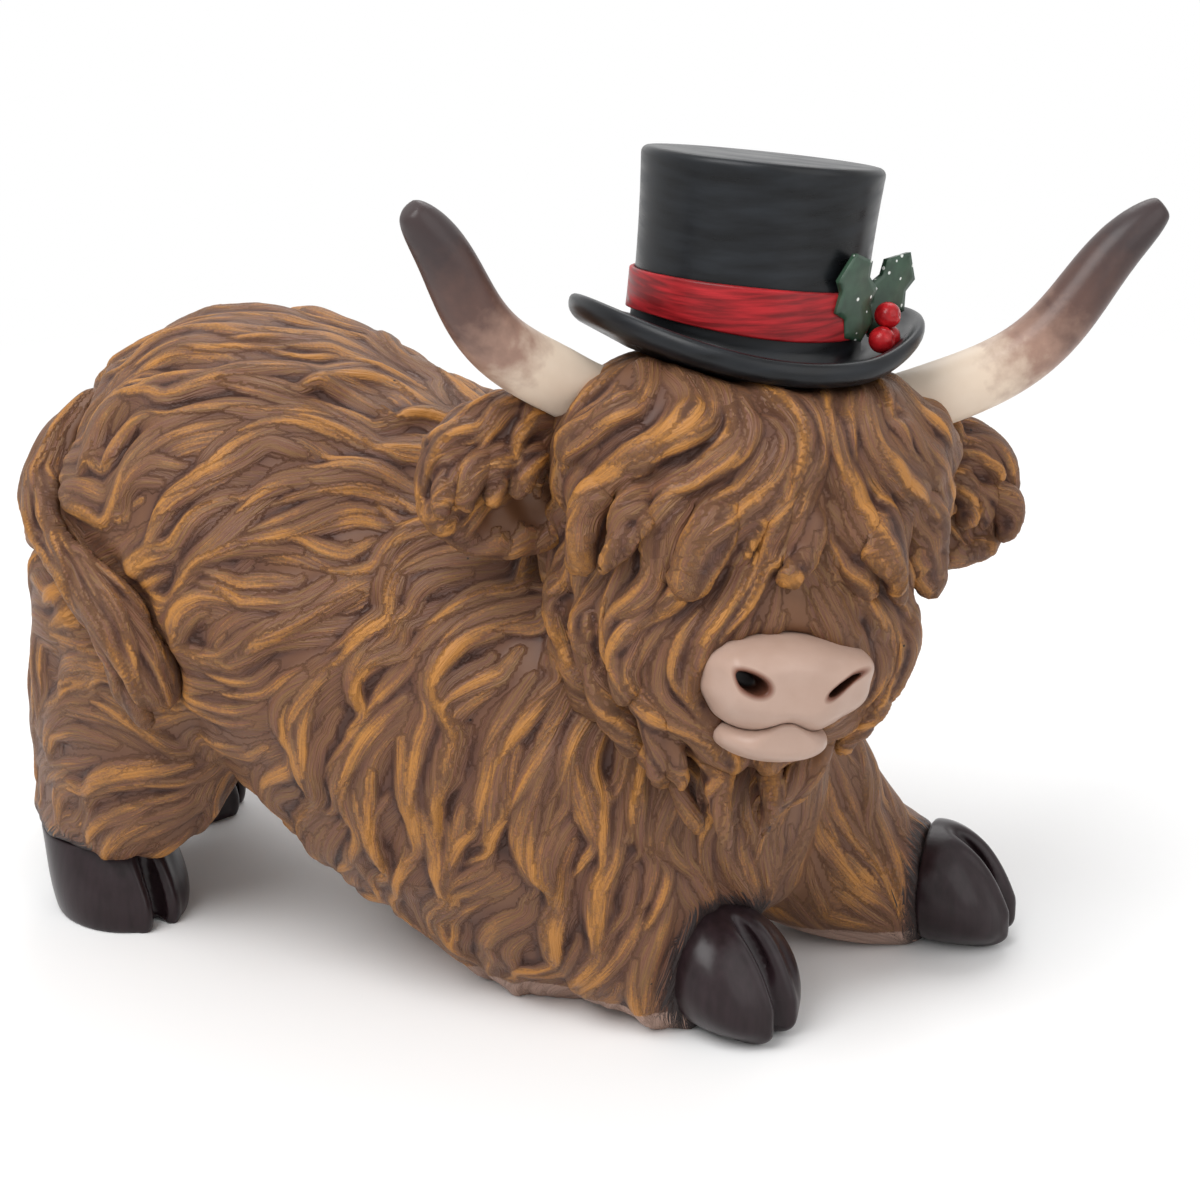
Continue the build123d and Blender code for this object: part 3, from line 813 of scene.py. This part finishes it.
for side, name in ((1, "left"), (-1, "right")):
    ear = clay(f"coat_ear_{name}", [f"ear_{name}"], ear_voxel, 6)
    points, normals = points_of(ear.data), normals_of(ear.data)
    own = head_points(points)
    facing = np.clip((normals @ np.array(head_turn))[:, 0], 0, 1)
    out = own[:, 1] * side - ear_root_out
    high = own[:, 2] - ear_root_up + ear_droop * out
    # the bowl is 19 mm wide, 11 mm high and 3.6 mm deep, with a few folds in it
    bowl = np.exp(-(((out - 13) / 9.5) ** 2 + ((high + 4.0) / 5.5) ** 2) ** 1.5)
    folds = np.sin(own[:, 1] * 0.9 + own[:, 2] * 0.5)
    press = facing * bowl * (3.6 + 0.5 * folds) * MM
    points -= press[:, None] * np.array(head_turn)[:, 0]
    set_points(ear.data, points)
    tree = tree_of(ear.data)
    rolls = []
    for reach in (9, 13, 17, 21, 25):
        ahead = (20.0, side * (ear_root_out + reach), ear_root_up + 4.5 - ear_droop * reach)
        place, _ = skin_from(tree, ahead, (-1, 0, 0))
        down = head_turn @ Vector((0.1, side * 0.3, -1)).normalized()
        rolls.append((place, head_turn @ Vector((1, 0, 0)), down, 9.5, 5.5, 4.0, 0.4 * side, 0.8))
    lay_on(ear, rolls)
    remesh(ear, ear_voxel)
    smoothed(ear, 3)
    coat = Coat(ear, ear_lie, 3)
    own = head_points(coat.points)
    front = (coat.normals @ np.array(head_turn))[:, 0] > 0.2
    above = own[:, 2] > ear_root_up + 1 - ear_droop * (own[:, 1] * side - ear_root_out)
    locks = coat.carve(
        ear_lie, above | ~front, seed=31 + side, spacing=5.0, length=15, width=6.0, height=2.2,
        swing=ear_swing, drift=0.4,
    )
    coat.settle()
    strands = coat.carve(
        coat.follow, above | ~front, seed=41 + side, spacing=2.3, length=11, width=2.3, height=0.7,
        swing=lambda here: 0.12,
    )
    coat.finish()
    print("ear locks:", locks, "strands:", strands)
    fit(ear, coat_paint, "coat", f"ear_{name}")

# %% [markdown]
# ## Tail
# The tail hangs from the rump and lies over the right haunch. Long strands run its whole length
# and end in a few separate tips, so its locks follow its spine instead of the body's lie.

# %% Tail
tail_spine = [
    Vector(place) * MM for place in (
        (-89.7, -3.5, 90.8), (-94.0, -7.9, 85.6), (-95.5, -13.1, 79.0), (-89.8, -21.5, 74.3),
        (-80.3, -29.3, 70.4), (-73.3, -34.1, 64.3), (-69.3, -35.0, 57.2), (-67.7, -33.9, 51.2),
    )
]


def tail_lie(here, up):
    pairs = list(zip(tail_spine, tail_spine[1:]))
    start, end = min(pairs, key=lambda pair: (pair[0] + pair[1] - 2 * here).length)
    return end - start


tail = clay("coat_tail", ["tail"], 0.7 * MM, 4)
# three tips fan out at the end: where each starts on the spine, its way, length, width and curl
outward = Vector((0.15, -0.95, 0.25)).normalized()
tips = (
    (5, (0.25, 0.0, -0.95), 19, 6.0, -0.25),
    (4, (0.75, -0.1, -0.60), 17, 5.0, 0.40),
    (5, (-0.15, 0.0, -1.0), 14, 4.5, 0.30),
)
lay_on(tail, [
    (tail_spine[start] + outward * 3 * MM, outward, Vector(way).normalized(), length, width, 5.0, curl)
    for start, way, length, width, curl in tips
])
remesh(tail, (0.36) * MM)
smoothed(tail, 3)
coat = Coat(tail, tail_lie, 3)
everywhere = np.ones(len(coat.points), bool)
locks = coat.carve(
    tail_lie, everywhere, seed=51, spacing=4.5, length=26, width=4.6, height=1.8,
    swing=lambda here: 0.3,
)
coat.settle()
strands = coat.carve(
    coat.follow, everywhere, seed=52, spacing=2.2, length=15, width=2.2, height=0.6,
    swing=lambda here: 0.1,
)
coat.finish()
fit(tail, coat_paint, "coat", "tail")
print("tail locks:", locks, "strands:", strands)

# %% [markdown]
# ## Horns
# The horns are smooth castings glued over pins. The painter blended cream at the root through a
# purplish brown to a nearly black tip, wet in wet, so the change is soft but streaky. The colour
# reads how far along its spine each point lies.

# %% Horn paint
def make_horn_material():
    material, tree, shader, place = new_material(
        "polyresin_blended_horn_paint", Roughness=0.36, Specular_IOR_Level=0.3
    )
    along = node(tree, "ShaderNodeAttribute", {}, out="Fac", attribute_name="along")
    # brush marks and blotches about 3 mm wide
    blotch = node(tree, "ShaderNodeTexNoise", {"Vector": place, "Scale": 330.0, "Detail": 4.0})
    shade = node(tree, "ShaderNodeMath", {0: blotch, 1: 0.22, 2: along}, operation="MULTIPLY_ADD")
    shades = node(tree, "ShaderNodeValToRGB", {0: shade})
    steps = (
        (0.125, "#6e4b34"), (0.140, "#e4d5c3"), (0.48, "#dac7b3"), (0.62, "#9a7b6c"),
        (0.78, "#5c443d"), (1.0, "#3a2f2f"),
    )
    stops = shades.node.color_ramp.elements
    while len(stops) < len(steps):
        stops.new(0.5)
    for stop, (place_on, code) in zip(stops, steps):
        stop.position, stop.color = place_on, colour(code)
    tree.links.new(shades, shader.inputs["Base Color"])
    bump = node(tree, "ShaderNodeBump", {"Height": blotch, "Strength": 0.2, "Distance": 0.2 * MM})
    tree.links.new(bump, shader.inputs["Normal"])
    return material


# %% Horns
def along_spine(points, spine):
    """How far along a spine each point lies, from 0 at its first point to 1 at its last."""
    leg, share, _, sizes = nearest_on(np.array(spine), points)
    before = np.concatenate([[0], np.cumsum(sizes)])
    return (before[leg] + share * sizes[leg]) / before[-1]


horn_paint = make_horn_material()
# stations along a horn: their share of its reach outwards, then of its rise
horn_shares = (
    (0.00, 0.00), (0.30, 0.10), (0.50, 0.23), (0.70, 0.47), (0.80, 0.68), (0.91, 0.88), (1.00, 1.00),
)
# for each horn: its side, then its reach outwards and its rise in millimetres
horn_reach = {"left": (1, 47.0, 37.5), "right": (-1, 41.5, 28.0)}
horn_forward = 12.0
for name, (side, reach, rise) in horn_reach.items():
    root = (0, side * 0.33 * head_size.y, 0.265 * head_size.z)
    spine = [
        from_head(root[0] + out * horn_forward, root[1] + side * out * reach, root[2] + up * rise)
        for out, up in horn_shares
    ]
    horn = clay(f"cast_horn_{name}", [f"horn_{name}"], 0.45 * MM, 14)
    set_layer(horn.data, "along", along_spine(points_of(horn.data), spine))
    fit(horn, horn_paint, "horn", f"horn_{name}")

# %% [markdown]
# ## Muzzle and lip
# The muzzle is smooth painted resin, pinkish beige, with dark paint run into the nostrils, deepened
# to near black inside them as painted shade. Its clay comes from the solids, which already hold the
# nostril holes. Moving points stretches one nostril to an almond, narrows the other to a slit, widens
# the outline towards its top and bends the mouth line between muzzle and lip.

# %% Muzzle paint
def make_muzzle_material():
    material, tree, shader, place = new_material(
        "polyresin_satin_muzzle_paint", Roughness=0.38, Specular_IOR_Level=0.3
    )
    hollow = node(tree, "ShaderNodeAttribute", {}, out="Fac", attribute_name="hollow")
    # clouds about 5 mm wide
    cloud = node(tree, "ShaderNodeTexNoise", {"Vector": place, "Scale": 210.0, "Detail": 3.0})
    skin = node(
        tree, "ShaderNodeMix", {0: cloud, MIX_A: colour("#a68a7b"), MIX_B: colour("#b59b8d")},
        out=MIX_OUT, data_type="RGBA",
    )
    # the nostrils darken from a brown rim to near black in the middle: dark paint, deepened as painted
    # shade
    edge = node(tree, "ShaderNodeMapRange", {"Value": hollow, 1: 0.15, 2: 0.55, 3: 0.0, 4: 1.0})
    deep = node(tree, "ShaderNodeMapRange", {"Value": hollow, 1: 0.5, 2: 0.9, 3: 0.0, 4: 1.0})
    rim = node(
        tree, "ShaderNodeMix", {0: edge, MIX_A: skin, MIX_B: colour("#6b4130")},
        out=MIX_OUT, data_type="RGBA",
    )
    paint = node(
        tree, "ShaderNodeMix", {0: deep, MIX_A: rim, MIX_B: colour("#17100f")},
        out=MIX_OUT, data_type="RGBA",
    )
    tree.links.new(paint, shader.inputs["Base Color"])
    bump = node(tree, "ShaderNodeBump", {"Height": cloud, "Strength": 0.15, "Distance": 0.3 * MM})
    tree.links.new(bump, shader.inputs["Normal"])
    return material


# %% Muzzle and lip
muzzle_paint = make_muzzle_material()
muzzle_root = Vector((0.41 * head_size.x, 0, -0.28 * head_size.z))
muzzle_length, nostril_apart, nostril_lift = 15.0, 14.6, 1.2
# for each side's nostril: its slope in degrees, then its stretch along and across the slope
nostrils = {-1: (-22, 1.30, 1.10), 1: (42, 1.40, 0.50)}
# half the dark hollow's size along and across the slope, and how far around it the clay moves
hollow_long, hollow_wide, stretch_reach = 2.2, 1.6, 4.0
mouth_high = -6.8
for name, node_name in (("cast_muzzle", "muzzle"), ("cast_lower_lip", "lower_lip")):
    snout = clay(name, [node_name], 0.33 * MM, 5)
    own = head_points(points_of(snout.data)) - np.array(muzzle_root)
    hollow = np.zeros(len(own))
    if node_name == "muzzle":
        for side, (slope, longer, wider) in nostrils.items():
            gap = own - np.array((muzzle_length, side * nostril_apart / 2, nostril_lift))
            c, s = math.cos(math.radians(slope)), math.sin(math.radians(slope))
            along, across = gap[:, 1] * c + gap[:, 2] * s, gap[:, 2] * c - gap[:, 1] * s
            edge = np.hypot(along / hollow_long, across / hollow_wide)
            hollow = np.maximum(hollow, 1 - np.clip(edge - 0.55, 0, 1))
            near = np.exp(-(np.hypot(along, across) / stretch_reach) ** 4)
            more_along, more_across = (longer - 1) * near * along, (wider - 1) * near * across
            own[:, 1] += more_along * c - more_across * s
            own[:, 2] += more_along * s + more_across * c
        # the outline is a rounded trapezoid, a little fuller on the cow's left
        own[:, 1] *= 1 + 0.20 * ramp(own[:, 2], 0, 6)
        own[:, 1] += 1.2 * ramp(np.abs(own[:, 1]), 9, 12.5)
    # the mouth line rises 1.1 mm in the middle and sinks 0.5 mm to either side
    aside = np.abs(own[:, 1])
    bow = 1.1 * np.exp(-(aside / 2.8) ** 2) - 0.5 * np.exp(-((aside - 6) / 3) ** 2)
    own[:, 2] += np.exp(-((own[:, 2] - mouth_high) / 3) ** 2) * bow
    turned_back = (own + np.array(muzzle_root)) * MM @ np.array(head_turn).T
    set_points(snout.data, turned_back + np.array(head_middle))
    set_layer(snout.data, "hollow", hollow)
    fit(snout, muzzle_paint, "muzzle", node_name)

# %% [markdown]
# ## Hooves
# The hooves are part of the casting, left smooth, with a cleft at the toe, and painted a dark
# charcoal brown that dries to a satin sheen with faint brush marks. The solids' clefts are narrow,
# so each is pressed wider here, as the sculptor's tool would.

# %% Hooves
def make_hoof_material():
    material, tree, shader, place = new_material(
        "polyresin_charcoal_hoof_paint", Roughness=0.28, Specular_IOR_Level=0.25
    )
    # brush marks 1.4 mm across, drawn out down the hoof
    stretched = node(tree, "ShaderNodeMapping", {"Vector": place, "Scale": (700.0, 700.0, 120.0)})
    brush = node(tree, "ShaderNodeTexNoise", {"Vector": stretched, "Scale": 1.0, "Detail": 3.0})
    paint = node(
        tree, "ShaderNodeMix", {0: brush, MIX_A: colour("#170f0f"), MIX_B: colour("#33262a")},
        out=MIX_OUT, data_type="RGBA",
    )
    tree.links.new(paint, shader.inputs["Base Color"])
    bump = node(tree, "ShaderNodeBump", {"Height": brush, "Strength": 0.2, "Distance": 0.15 * MM})
    tree.links.new(bump, shader.inputs["Normal"])
    return material


hoof_paint = make_hoof_material()
# for each hoof: a place in its cleft in millimetres, the way its toe points in degrees, and how far
# ahead of that place the cleft starts
clefts = {
    "fore_hoof_left": (49.5, 25.0, 2, 2), "fore_hoof_right": (24.0, -17.5, -22, 2),
    "hind_hoof_left": (-98.5, 26.5, 14, 4), "hind_hoof_right": (-88.0, -14.0, -30, 4),
}
for name, (x, y, yaw, begins) in clefts.items():
    hoof = clay(f"cast_{name}", [name], 0.35 * MM, 4)
    points, edges = points_of(hoof.data), edges_of(hoof.data)
    gap = points / MM - np.array((x, y, 0))
    c, s = math.cos(math.radians(yaw)), math.sin(math.radians(yaw))
    ahead, across = gap[:, 0] * c + gap[:, 1] * s, gap[:, 1] * c - gap[:, 0] * s
    # the claws part towards the toe by a groove, with a raised rim 3 mm to either side of it
    open_here = ramp(ahead, begins, begins + 8)
    normals = evened(normals_of(hoof.data), edges, 6)
    rim, groove = 0.6 * np.exp(-((np.abs(across) - 3.0) / 1.2) ** 2), 2.2 * np.exp(-(across / 1.3) ** 2)
    points += normals * ((rim - groove) * open_here * MM)[:, None]
    points = evened(points, edges, 2)
    points[:, 2] = np.maximum(points[:, 2], 0)
    set_points(hoof.data, points)
    fit(hoof, hoof_paint, "hoof", name)

# %% [markdown]
# ## Top hat, band and holly
# The hat is turned: one outline of the crown and brim spun round its axis, with its corners
# bevelled, and then the brim is curled up at both sides by moving its points. Black gloss paint
# over resin shows soft brush marks and a blurred sheen.

# %% Hat paint
def make_brushed_paint(name, dark, light, roughness, scale):
    """Glossy paint with soft brush marks; the scale is one over their size in metres."""
    material, tree, shader, place = new_material(name, Roughness=roughness, Specular_IOR_Level=0.25)
    stretched = node(tree, "ShaderNodeMapping", {"Vector": place, "Scale": scale})
    brush = node(tree, "ShaderNodeTexNoise", {"Vector": stretched, "Scale": 1.0, "Detail": 4.0})
    marks = node(tree, "ShaderNodeMapRange", {"Value": brush, 1: 0.35, 2: 0.7, 3: 0.0, 4: 1.0})
    paint = node(
        tree, "ShaderNodeMix", {0: marks, MIX_A: colour(dark), MIX_B: colour(light)},
        out=MIX_OUT, data_type="RGBA",
    )
    tree.links.new(paint, shader.inputs["Base Color"])
    glossy, dull = roughness - 0.05, roughness + 0.12
    worn = node(tree, "ShaderNodeMapRange", {"Value": brush, 1: 0.3, 2: 0.7, 3: glossy, 4: dull})
    tree.links.new(worn, shader.inputs["Roughness"])
    bump = node(tree, "ShaderNodeBump", {"Height": brush, "Strength": 0.25, "Distance": 0.15 * MM})
    tree.links.new(bump, shader.inputs["Normal"])
    return material


# %% Turned pieces
brim_radius_out, brim_radius_ahead, brim_thick, curl_radius = 28.5, 26.5, 3.0, 72.0
crown_foot, crown_waist, crown_top, crown_height = 18.5, 18.0, 19.4, 31.0
hat_place = Matrix.Translation(hat_seat) @ head_turn.to_4x4()


def turned(name, outline, corners):
    """Spins an outline of (radius, height) in millimetres round the axis, its corners rounded."""
    bm = bmesh.new()
    row = [bm.verts.new((radius * MM, 0, high * MM)) for radius, high in outline]
    edges = [bm.edges.new(pair) for pair in zip(row, row[1:])]
    for place, size in corners:
        bmesh.ops.bevel(
            bm, geom=[row[place]], offset=size * MM, segments=5, profile=0.5, affect="VERTICES", material=-1
        )
    bmesh.ops.spin(
        bm, geom=bm.verts[:] + bm.edges[:], cent=(0, 0, 0), axis=(0, 0, 1), angle=2 * math.pi, steps=128,
        use_merge=True,
    )
    bmesh.ops.remove_doubles(bm, verts=bm.verts, dist=0.001 * MM)
    bmesh.ops.recalc_face_normals(bm, faces=bm.faces)
    return finished(bm, name)


def wall_radius(high):
    """The crown's outside radius at a height: a waist a third of the way up, flared above."""
    share = high / crown_height
    return crown_foot + (crown_top - crown_foot) * share - 2.0 * share * (1 - share)


def brim_curl(points, fades_at):
    """How far the brim's curl lifts each point, less and less up to a height on the crown."""
    arc = curl_radius - np.sqrt(curl_radius ** 2 - points[:, 1] ** 2)
    return arc * (1 - ramp(points[:, 2], 0.5, fades_at))


# %% Hat
# from the crown's middle out and down its wall, then out along the brim and back underneath it
steps = [crown_height * n / 12 for n in range(13)]
hat_outline = [(0, crown_height)] + [(wall_radius(high), high) for high in reversed(steps)]
hat_outline += [(crown_foot + n * (brim_radius_out - crown_foot) / 5, 0) for n in range(1, 6)]
hat_outline += [(brim_radius_out, -brim_thick - 1), (crown_foot, -brim_thick), (0, -brim_thick)]
# both edges of the brim and the crown's top edge are rounded
hat = turned("cast_top_hat", hat_outline, [(18, 1.8), (19, 1.8), (1, 1.3)])
points = points_of(hat.data) / MM
out = np.hypot(points[:, 0], points[:, 1])
curl = brim_curl(points, 7)
# the rim is rolled up, more so on the cow's left
rolled = (2.2 + 1.6 * ramp(points[:, 1], 10, 26)) * ramp(out, 21, brim_radius_out)
points[:, 2] += curl * ramp(out, 0, crown_foot) + rolled * (1 - ramp(points[:, 2], 0.5, 7))
# the brim is narrower ahead and behind than at the sides
narrower = (1 - brim_radius_ahead / brim_radius_out) * ramp(out, crown_foot, 24)
points[:, 0] *= np.where(out > crown_foot, 1 - narrower, 1)
set_points(hat.data, points * MM)
hat.data.transform(hat_place)
hat_paint = make_brushed_paint(
    "polyresin_black_gloss_paint", "#0f1012", "#1d2024", 0.30, (90.0, 90.0, 500.0)
)
fit(hat, hat_paint, "hat", "top_hat")

# %% Hat band
band_low, band_high, band_thick, band_clear = 4.2, 12.0, 0.9, 0.1
band_outline = [(wall_radius(h) + band_clear, h) for h in (band_low, band_high)]
band_outline += [(wall_radius(h) + band_thick, h) for h in (band_high, 8.0, band_low)]
band_outline += [band_outline[0]]
band = turned("cast_hat_band", band_outline, [(2, 0.4), (4, 0.4)])
points = points_of(band.data) / MM
points[:, 2] += brim_curl(points, 9)
set_points(band.data, points * MM)
band.data.transform(hat_place)
band_paint = make_brushed_paint(
    "polyresin_red_band_paint", "#6d1216", "#b02329", 0.33, (120.0, 120.0, 1400.0)
)
fit(band, band_paint, "band", "hat_band")

# %% [markdown]
# ## Holly
# Two spiny leaves stand against the band behind a bunch of berries. A leaf is an outline of a few
# points, thickened and cut finer, then cupped along its middle vein by moving points. White glitter
# was sprinkled on the wet varnish, which a fine Voronoi pattern scatters over the leaves.

# %% Holly paint
def make_leaf_material():
    material, tree, shader, place = new_material("polyresin_green_leaf_paint_with_glitter", Roughness=0.4)
    # clouds about 2 mm wide
    cloud = node(tree, "ShaderNodeTexNoise", {"Vector": place, "Scale": 500.0, "Detail": 4.0})
    green = node(
        tree, "ShaderNodeMix", {0: cloud, MIX_A: colour("#14241c"), MIX_B: colour("#3c5a45")},
        out=MIX_OUT, data_type="RGBA",
    )
    # glitter flakes 0.4 mm across, about 1.4 mm apart
    flakes = node(tree, "ShaderNodeTexVoronoi", {"Vector": place, "Scale": 520.0}, out="Distance")
    flake = node(tree, "ShaderNodeMapRange", {"Value": flakes, 1: 0.13, 2: 0.18, 3: 1.0, 4: 0.0})
    paint = node(
        tree, "ShaderNodeMix", {0: flake, MIX_A: green, MIX_B: colour("#e8ece6")},
        out=MIX_OUT, data_type="RGBA",
    )
    tree.links.new(paint, shader.inputs["Base Color"])
    bump = node(tree, "ShaderNodeBump", {"Height": cloud, "Strength": 0.3, "Distance": 0.2 * MM})
    tree.links.new(bump, shader.inputs["Normal"])
    return material


# %% Holly leaves
leaf_length, leaf_width, leaf_thick, leaf_apart, leaf_lift = 15.0, 10.5, 0.9, 7.0, 4.5
leaf_splay, leaf_turn, holly_azimuth = 22, -24, 52
# one side of a leaf: points at shares of half its width and of its length, in to a notch, out to a spine
leaf_side = ((0.70, 0.14), (0.62, 0.34), (1.00, 0.46), (0.66, 0.64), (0.80, 0.80))
holly_turn = Matrix.Rotation(math.radians(holly_azimuth), 4, "Z")
holly_place = hat_place @ holly_turn @ Matrix.Translation(Vector((crown_waist + band_thick, 0, 0)) * MM)
bm = bmesh.new()
for side in (1, -1):
    right = [(wide * leaf_width / 2, tall * leaf_length) for wide, tall in leaf_side]
    left = [(-across, up) for across, up in reversed(right)]
    ring = [(0, 0), *right, (0, leaf_length), *left]
    blade = bmesh.new()
    rim = [blade.verts.new(Vector((0, across, up)) * MM) for across, up in ring]
    vein = [blade.verts.new(Vector((0.5, 0, leaf_length * tall)) * MM) for _, tall in leaf_side]
    tip = len(right) + 1
    right_rim, left_rim = rim[:tip + 1], [rim[0], *rim[:tip:-1], rim[tip]]
    middle = [rim[0], *vein, rim[tip]]
    for n in range(tip):
        for corners in (
            (right_rim[n], right_rim[n + 1], middle[n + 1], middle[n]),
            (left_rim[n], middle[n], middle[n + 1], left_rim[n + 1]),
        ):
            # at stalk and tip the vein meets the rim, so a corner that comes twice is dropped
            blade.faces.new(list(dict.fromkeys(corners)))
    bmesh.ops.recalc_face_normals(blade, faces=blade.faces)
    bmesh.ops.solidify(blade, geom=blade.faces[:], thickness=leaf_thick * MM)
    bmesh.ops.recalc_face_normals(blade, faces=blade.faces)
    bmesh.ops.subdivide_edges(blade, edges=blade.edges, cuts=3, use_grid_fill=True, smooth=0.0)
    # cupped along the vein, and bent outwards towards the tip
    for v in blade.verts:
        share = v.co.z / (leaf_length * MM)
        v.co.x += (1.2 * abs(v.co.y) / leaf_width * 2 + 1.6 * share * share) * MM
    lean = Matrix.Translation(Vector((0.7, side * leaf_apart / 2, leaf_lift)) * MM)
    lean = lean @ Matrix.Rotation(math.radians(leaf_turn), 4, "Z")
    blade.transform(holly_place @ lean @ Matrix.Rotation(math.radians(-side * leaf_splay), 4, "X"))
    mesh = bpy.data.meshes.new("blade")
    blade.to_mesh(mesh)
    blade.free()
    bm.from_mesh(mesh)
bmesh.ops.recalc_face_normals(bm, faces=bm.faces)
leaves = finished(bm, "cast_holly_leaves")
fit(leaves, make_leaf_material(), "leaf", "holly_leaves")

# %% Berries
berry_radius, berry_lift, berry_step, berry_out = 2.1, 3.0, 4.3, 1.6
bm = bmesh.new()
for side, row in ((1, 0), (-1, 0), (0, math.cos(math.radians(30)))):
    high = berry_lift + berry_radius + row * berry_step
    middle = Vector((berry_out + berry_radius, side * berry_step / 2, high))
    made = bmesh.ops.create_icosphere(
        bm, subdivisions=4, radius=berry_radius * MM, matrix=holly_place @ Matrix.Translation(middle * MM)
    )
    # a dimple 0.35 mm deep where the flower was
    eye = holly_place @ ((middle + Vector((berry_radius, 0.3 * side, 0.4))) * MM)
    for v in made["verts"]:
        near = (v.co - eye).length / MM
        outward = (v.co - holly_place @ (middle * MM)).normalized()
        v.co -= outward * 0.35 * MM * math.exp(-(near / 0.55) ** 2)
berries = finished(bm, "cast_holly_berries")
berry_paint = make_brushed_paint(
    "polyresin_red_berry_gloss", "#8e1016", "#c02026", 0.2, (600.0, 600.0, 600.0)
)
fit(berries, berry_paint, "berry", "holly_berries")

# %% [markdown]
# ## Locating pins
# The steel pins stay inside the castings, so their solids stay as they are and only get the look of
# plain drawn steel.

# %% Pins
steel, tree, shader, place = new_material("drawn_steel_pin", Metallic=1.0, Roughness=0.35)
# drawn lines 0.3 mm apart
drawn = node(tree, "ShaderNodeMapping", {"Vector": place, "Scale": (300.0, 3000.0, 3000.0)})
lines = node(tree, "ShaderNodeTexNoise", {"Vector": drawn, "Scale": 1.0})
grey = node(
    tree, "ShaderNodeMix", {0: lines, MIX_A: colour("#8d8f92"), MIX_B: colour("#b4b6b8")},
    out=MIX_OUT, data_type="RGBA",
)
tree.links.new(grey, shader.inputs["Base Color"])
for name in ("hat_pin", "horn_pin_left", "horn_pin_right"):
    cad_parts[name].data.materials.clear()
    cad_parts[name].data.materials.append(steel)

# %% [markdown]
# ## Camera, floor and light
# The photo was taken from the cow's right front, a little above, with a long lens.

# %% Camera
photo_azimuth, photo_elevation = math.radians(20), math.radians(22)
aim = Vector((0, -6.5, 60)) * MM
distance = 528 * MM
focal_pixels, frame_pixels = 3200, 1200
# the picture's row that shows the aim
aim_row = 640
back = Vector((
    math.sin(photo_azimuth) * math.cos(photo_elevation),
    -math.cos(photo_azimuth) * math.cos(photo_elevation),
    math.sin(photo_elevation),
))
camera = added("camera", bpy.data.cameras.new("camera"))
sensor_width = 36.0
camera.data.sensor_width = sensor_width
camera.data.lens = sensor_width * focal_pixels / frame_pixels
camera.data.shift_y = (aim_row - frame_pixels / 2) / frame_pixels
camera.data.clip_start = 0.01
camera.location = aim + back * distance
camera.rotation_euler = back.to_track_quat("Z", "Y").to_euler()
bpy.context.scene.camera = camera

# %% Floor and backdrop
floor_material, tree, shader, place = new_material("matt_white_studio_floor", Roughness=0.9)
shader.inputs["Base Color"].default_value = colour("#f4f4f4")
# far from the ornament, where the lamps no longer reach, the camera sees plain white
away = node(tree, "ShaderNodeVectorMath", {0: place}, out="Value", operation="LENGTH")
far = node(tree, "ShaderNodeMapRange", {"Value": away, 1: 0.18, 2: 0.40, 3: 0.0, 4: 1.0})
seen = node(tree, "ShaderNodeLightPath", {}, out="Is Camera Ray")
white = node(tree, "ShaderNodeMath", {0: far, 1: seen}, operation="MULTIPLY")
glow = node(tree, "ShaderNodeEmission", {"Color": (1, 1, 1, 1), "Strength": 1.0})
mixed = node(tree, "ShaderNodeMixShader", {0: white, 1: shader.outputs[0], 2: glow})
tree.links.new(mixed, tree.nodes["Material Output"].inputs["Surface"])
bm = bmesh.new()
bmesh.ops.create_grid(bm, x_segments=1, y_segments=1, size=1.5)
floor = finished(bm, "floor")
floor.data.materials.append(floor_material)
floor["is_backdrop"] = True

world = bpy.data.worlds.new("studio")
bpy.context.scene.world = world
world.use_nodes = True
tree = world.node_tree
background = tree.nodes["Background"]
# camera and mirror see plain white, but only half as much of it lights the castings
camera_ray = node(tree, "ShaderNodeLightPath", {}, out="Is Camera Ray")
seen = camera_ray
for ray in ("Is Glossy Ray", "Is Transmission Ray"):
    seen = node(tree, "ShaderNodeMath", {0: seen, 1: camera_ray.node.outputs[ray]}, operation="MAXIMUM")
strength = node(tree, "ShaderNodeMapRange", {"Value": seen, 3: 0.50, 4: 1.0})
tree.links.new(strength, background.inputs["Strength"])
background.inputs["Color"].default_value = (1, 1, 1, 1)


# %% Lamps
def lamp(name, azimuth, elevation, reach, size, watts):
    """A soft square lamp that looks at the ornament from an azimuth and elevation in degrees."""
    turn, lift = math.radians(azimuth), math.radians(elevation)
    way = Vector((math.sin(turn) * math.cos(lift), -math.cos(turn) * math.cos(lift), math.sin(lift)))
    light = bpy.data.lights.new(name, "AREA")
    light.size = size
    light.energy = watts
    made = added(name, light)
    made.location = aim + way * reach
    made.rotation_euler = way.to_track_quat("Z", "Y").to_euler()


lamp("key", azimuth=-25, elevation=55, reach=0.9, size=0.6, watts=6.8)
lamp("fill", azimuth=70, elevation=30, reach=0.9, size=0.8, watts=2.4)
lamp("back", azimuth=190, elevation=50, reach=0.9, size=0.6, watts=3.0)
bpy.context.scene.view_settings.view_transform = "Standard"

# %% Sizes, then finish
low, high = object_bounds()
print("visual:", [round(v / MM, 1) for v in (high - low)], "mm")
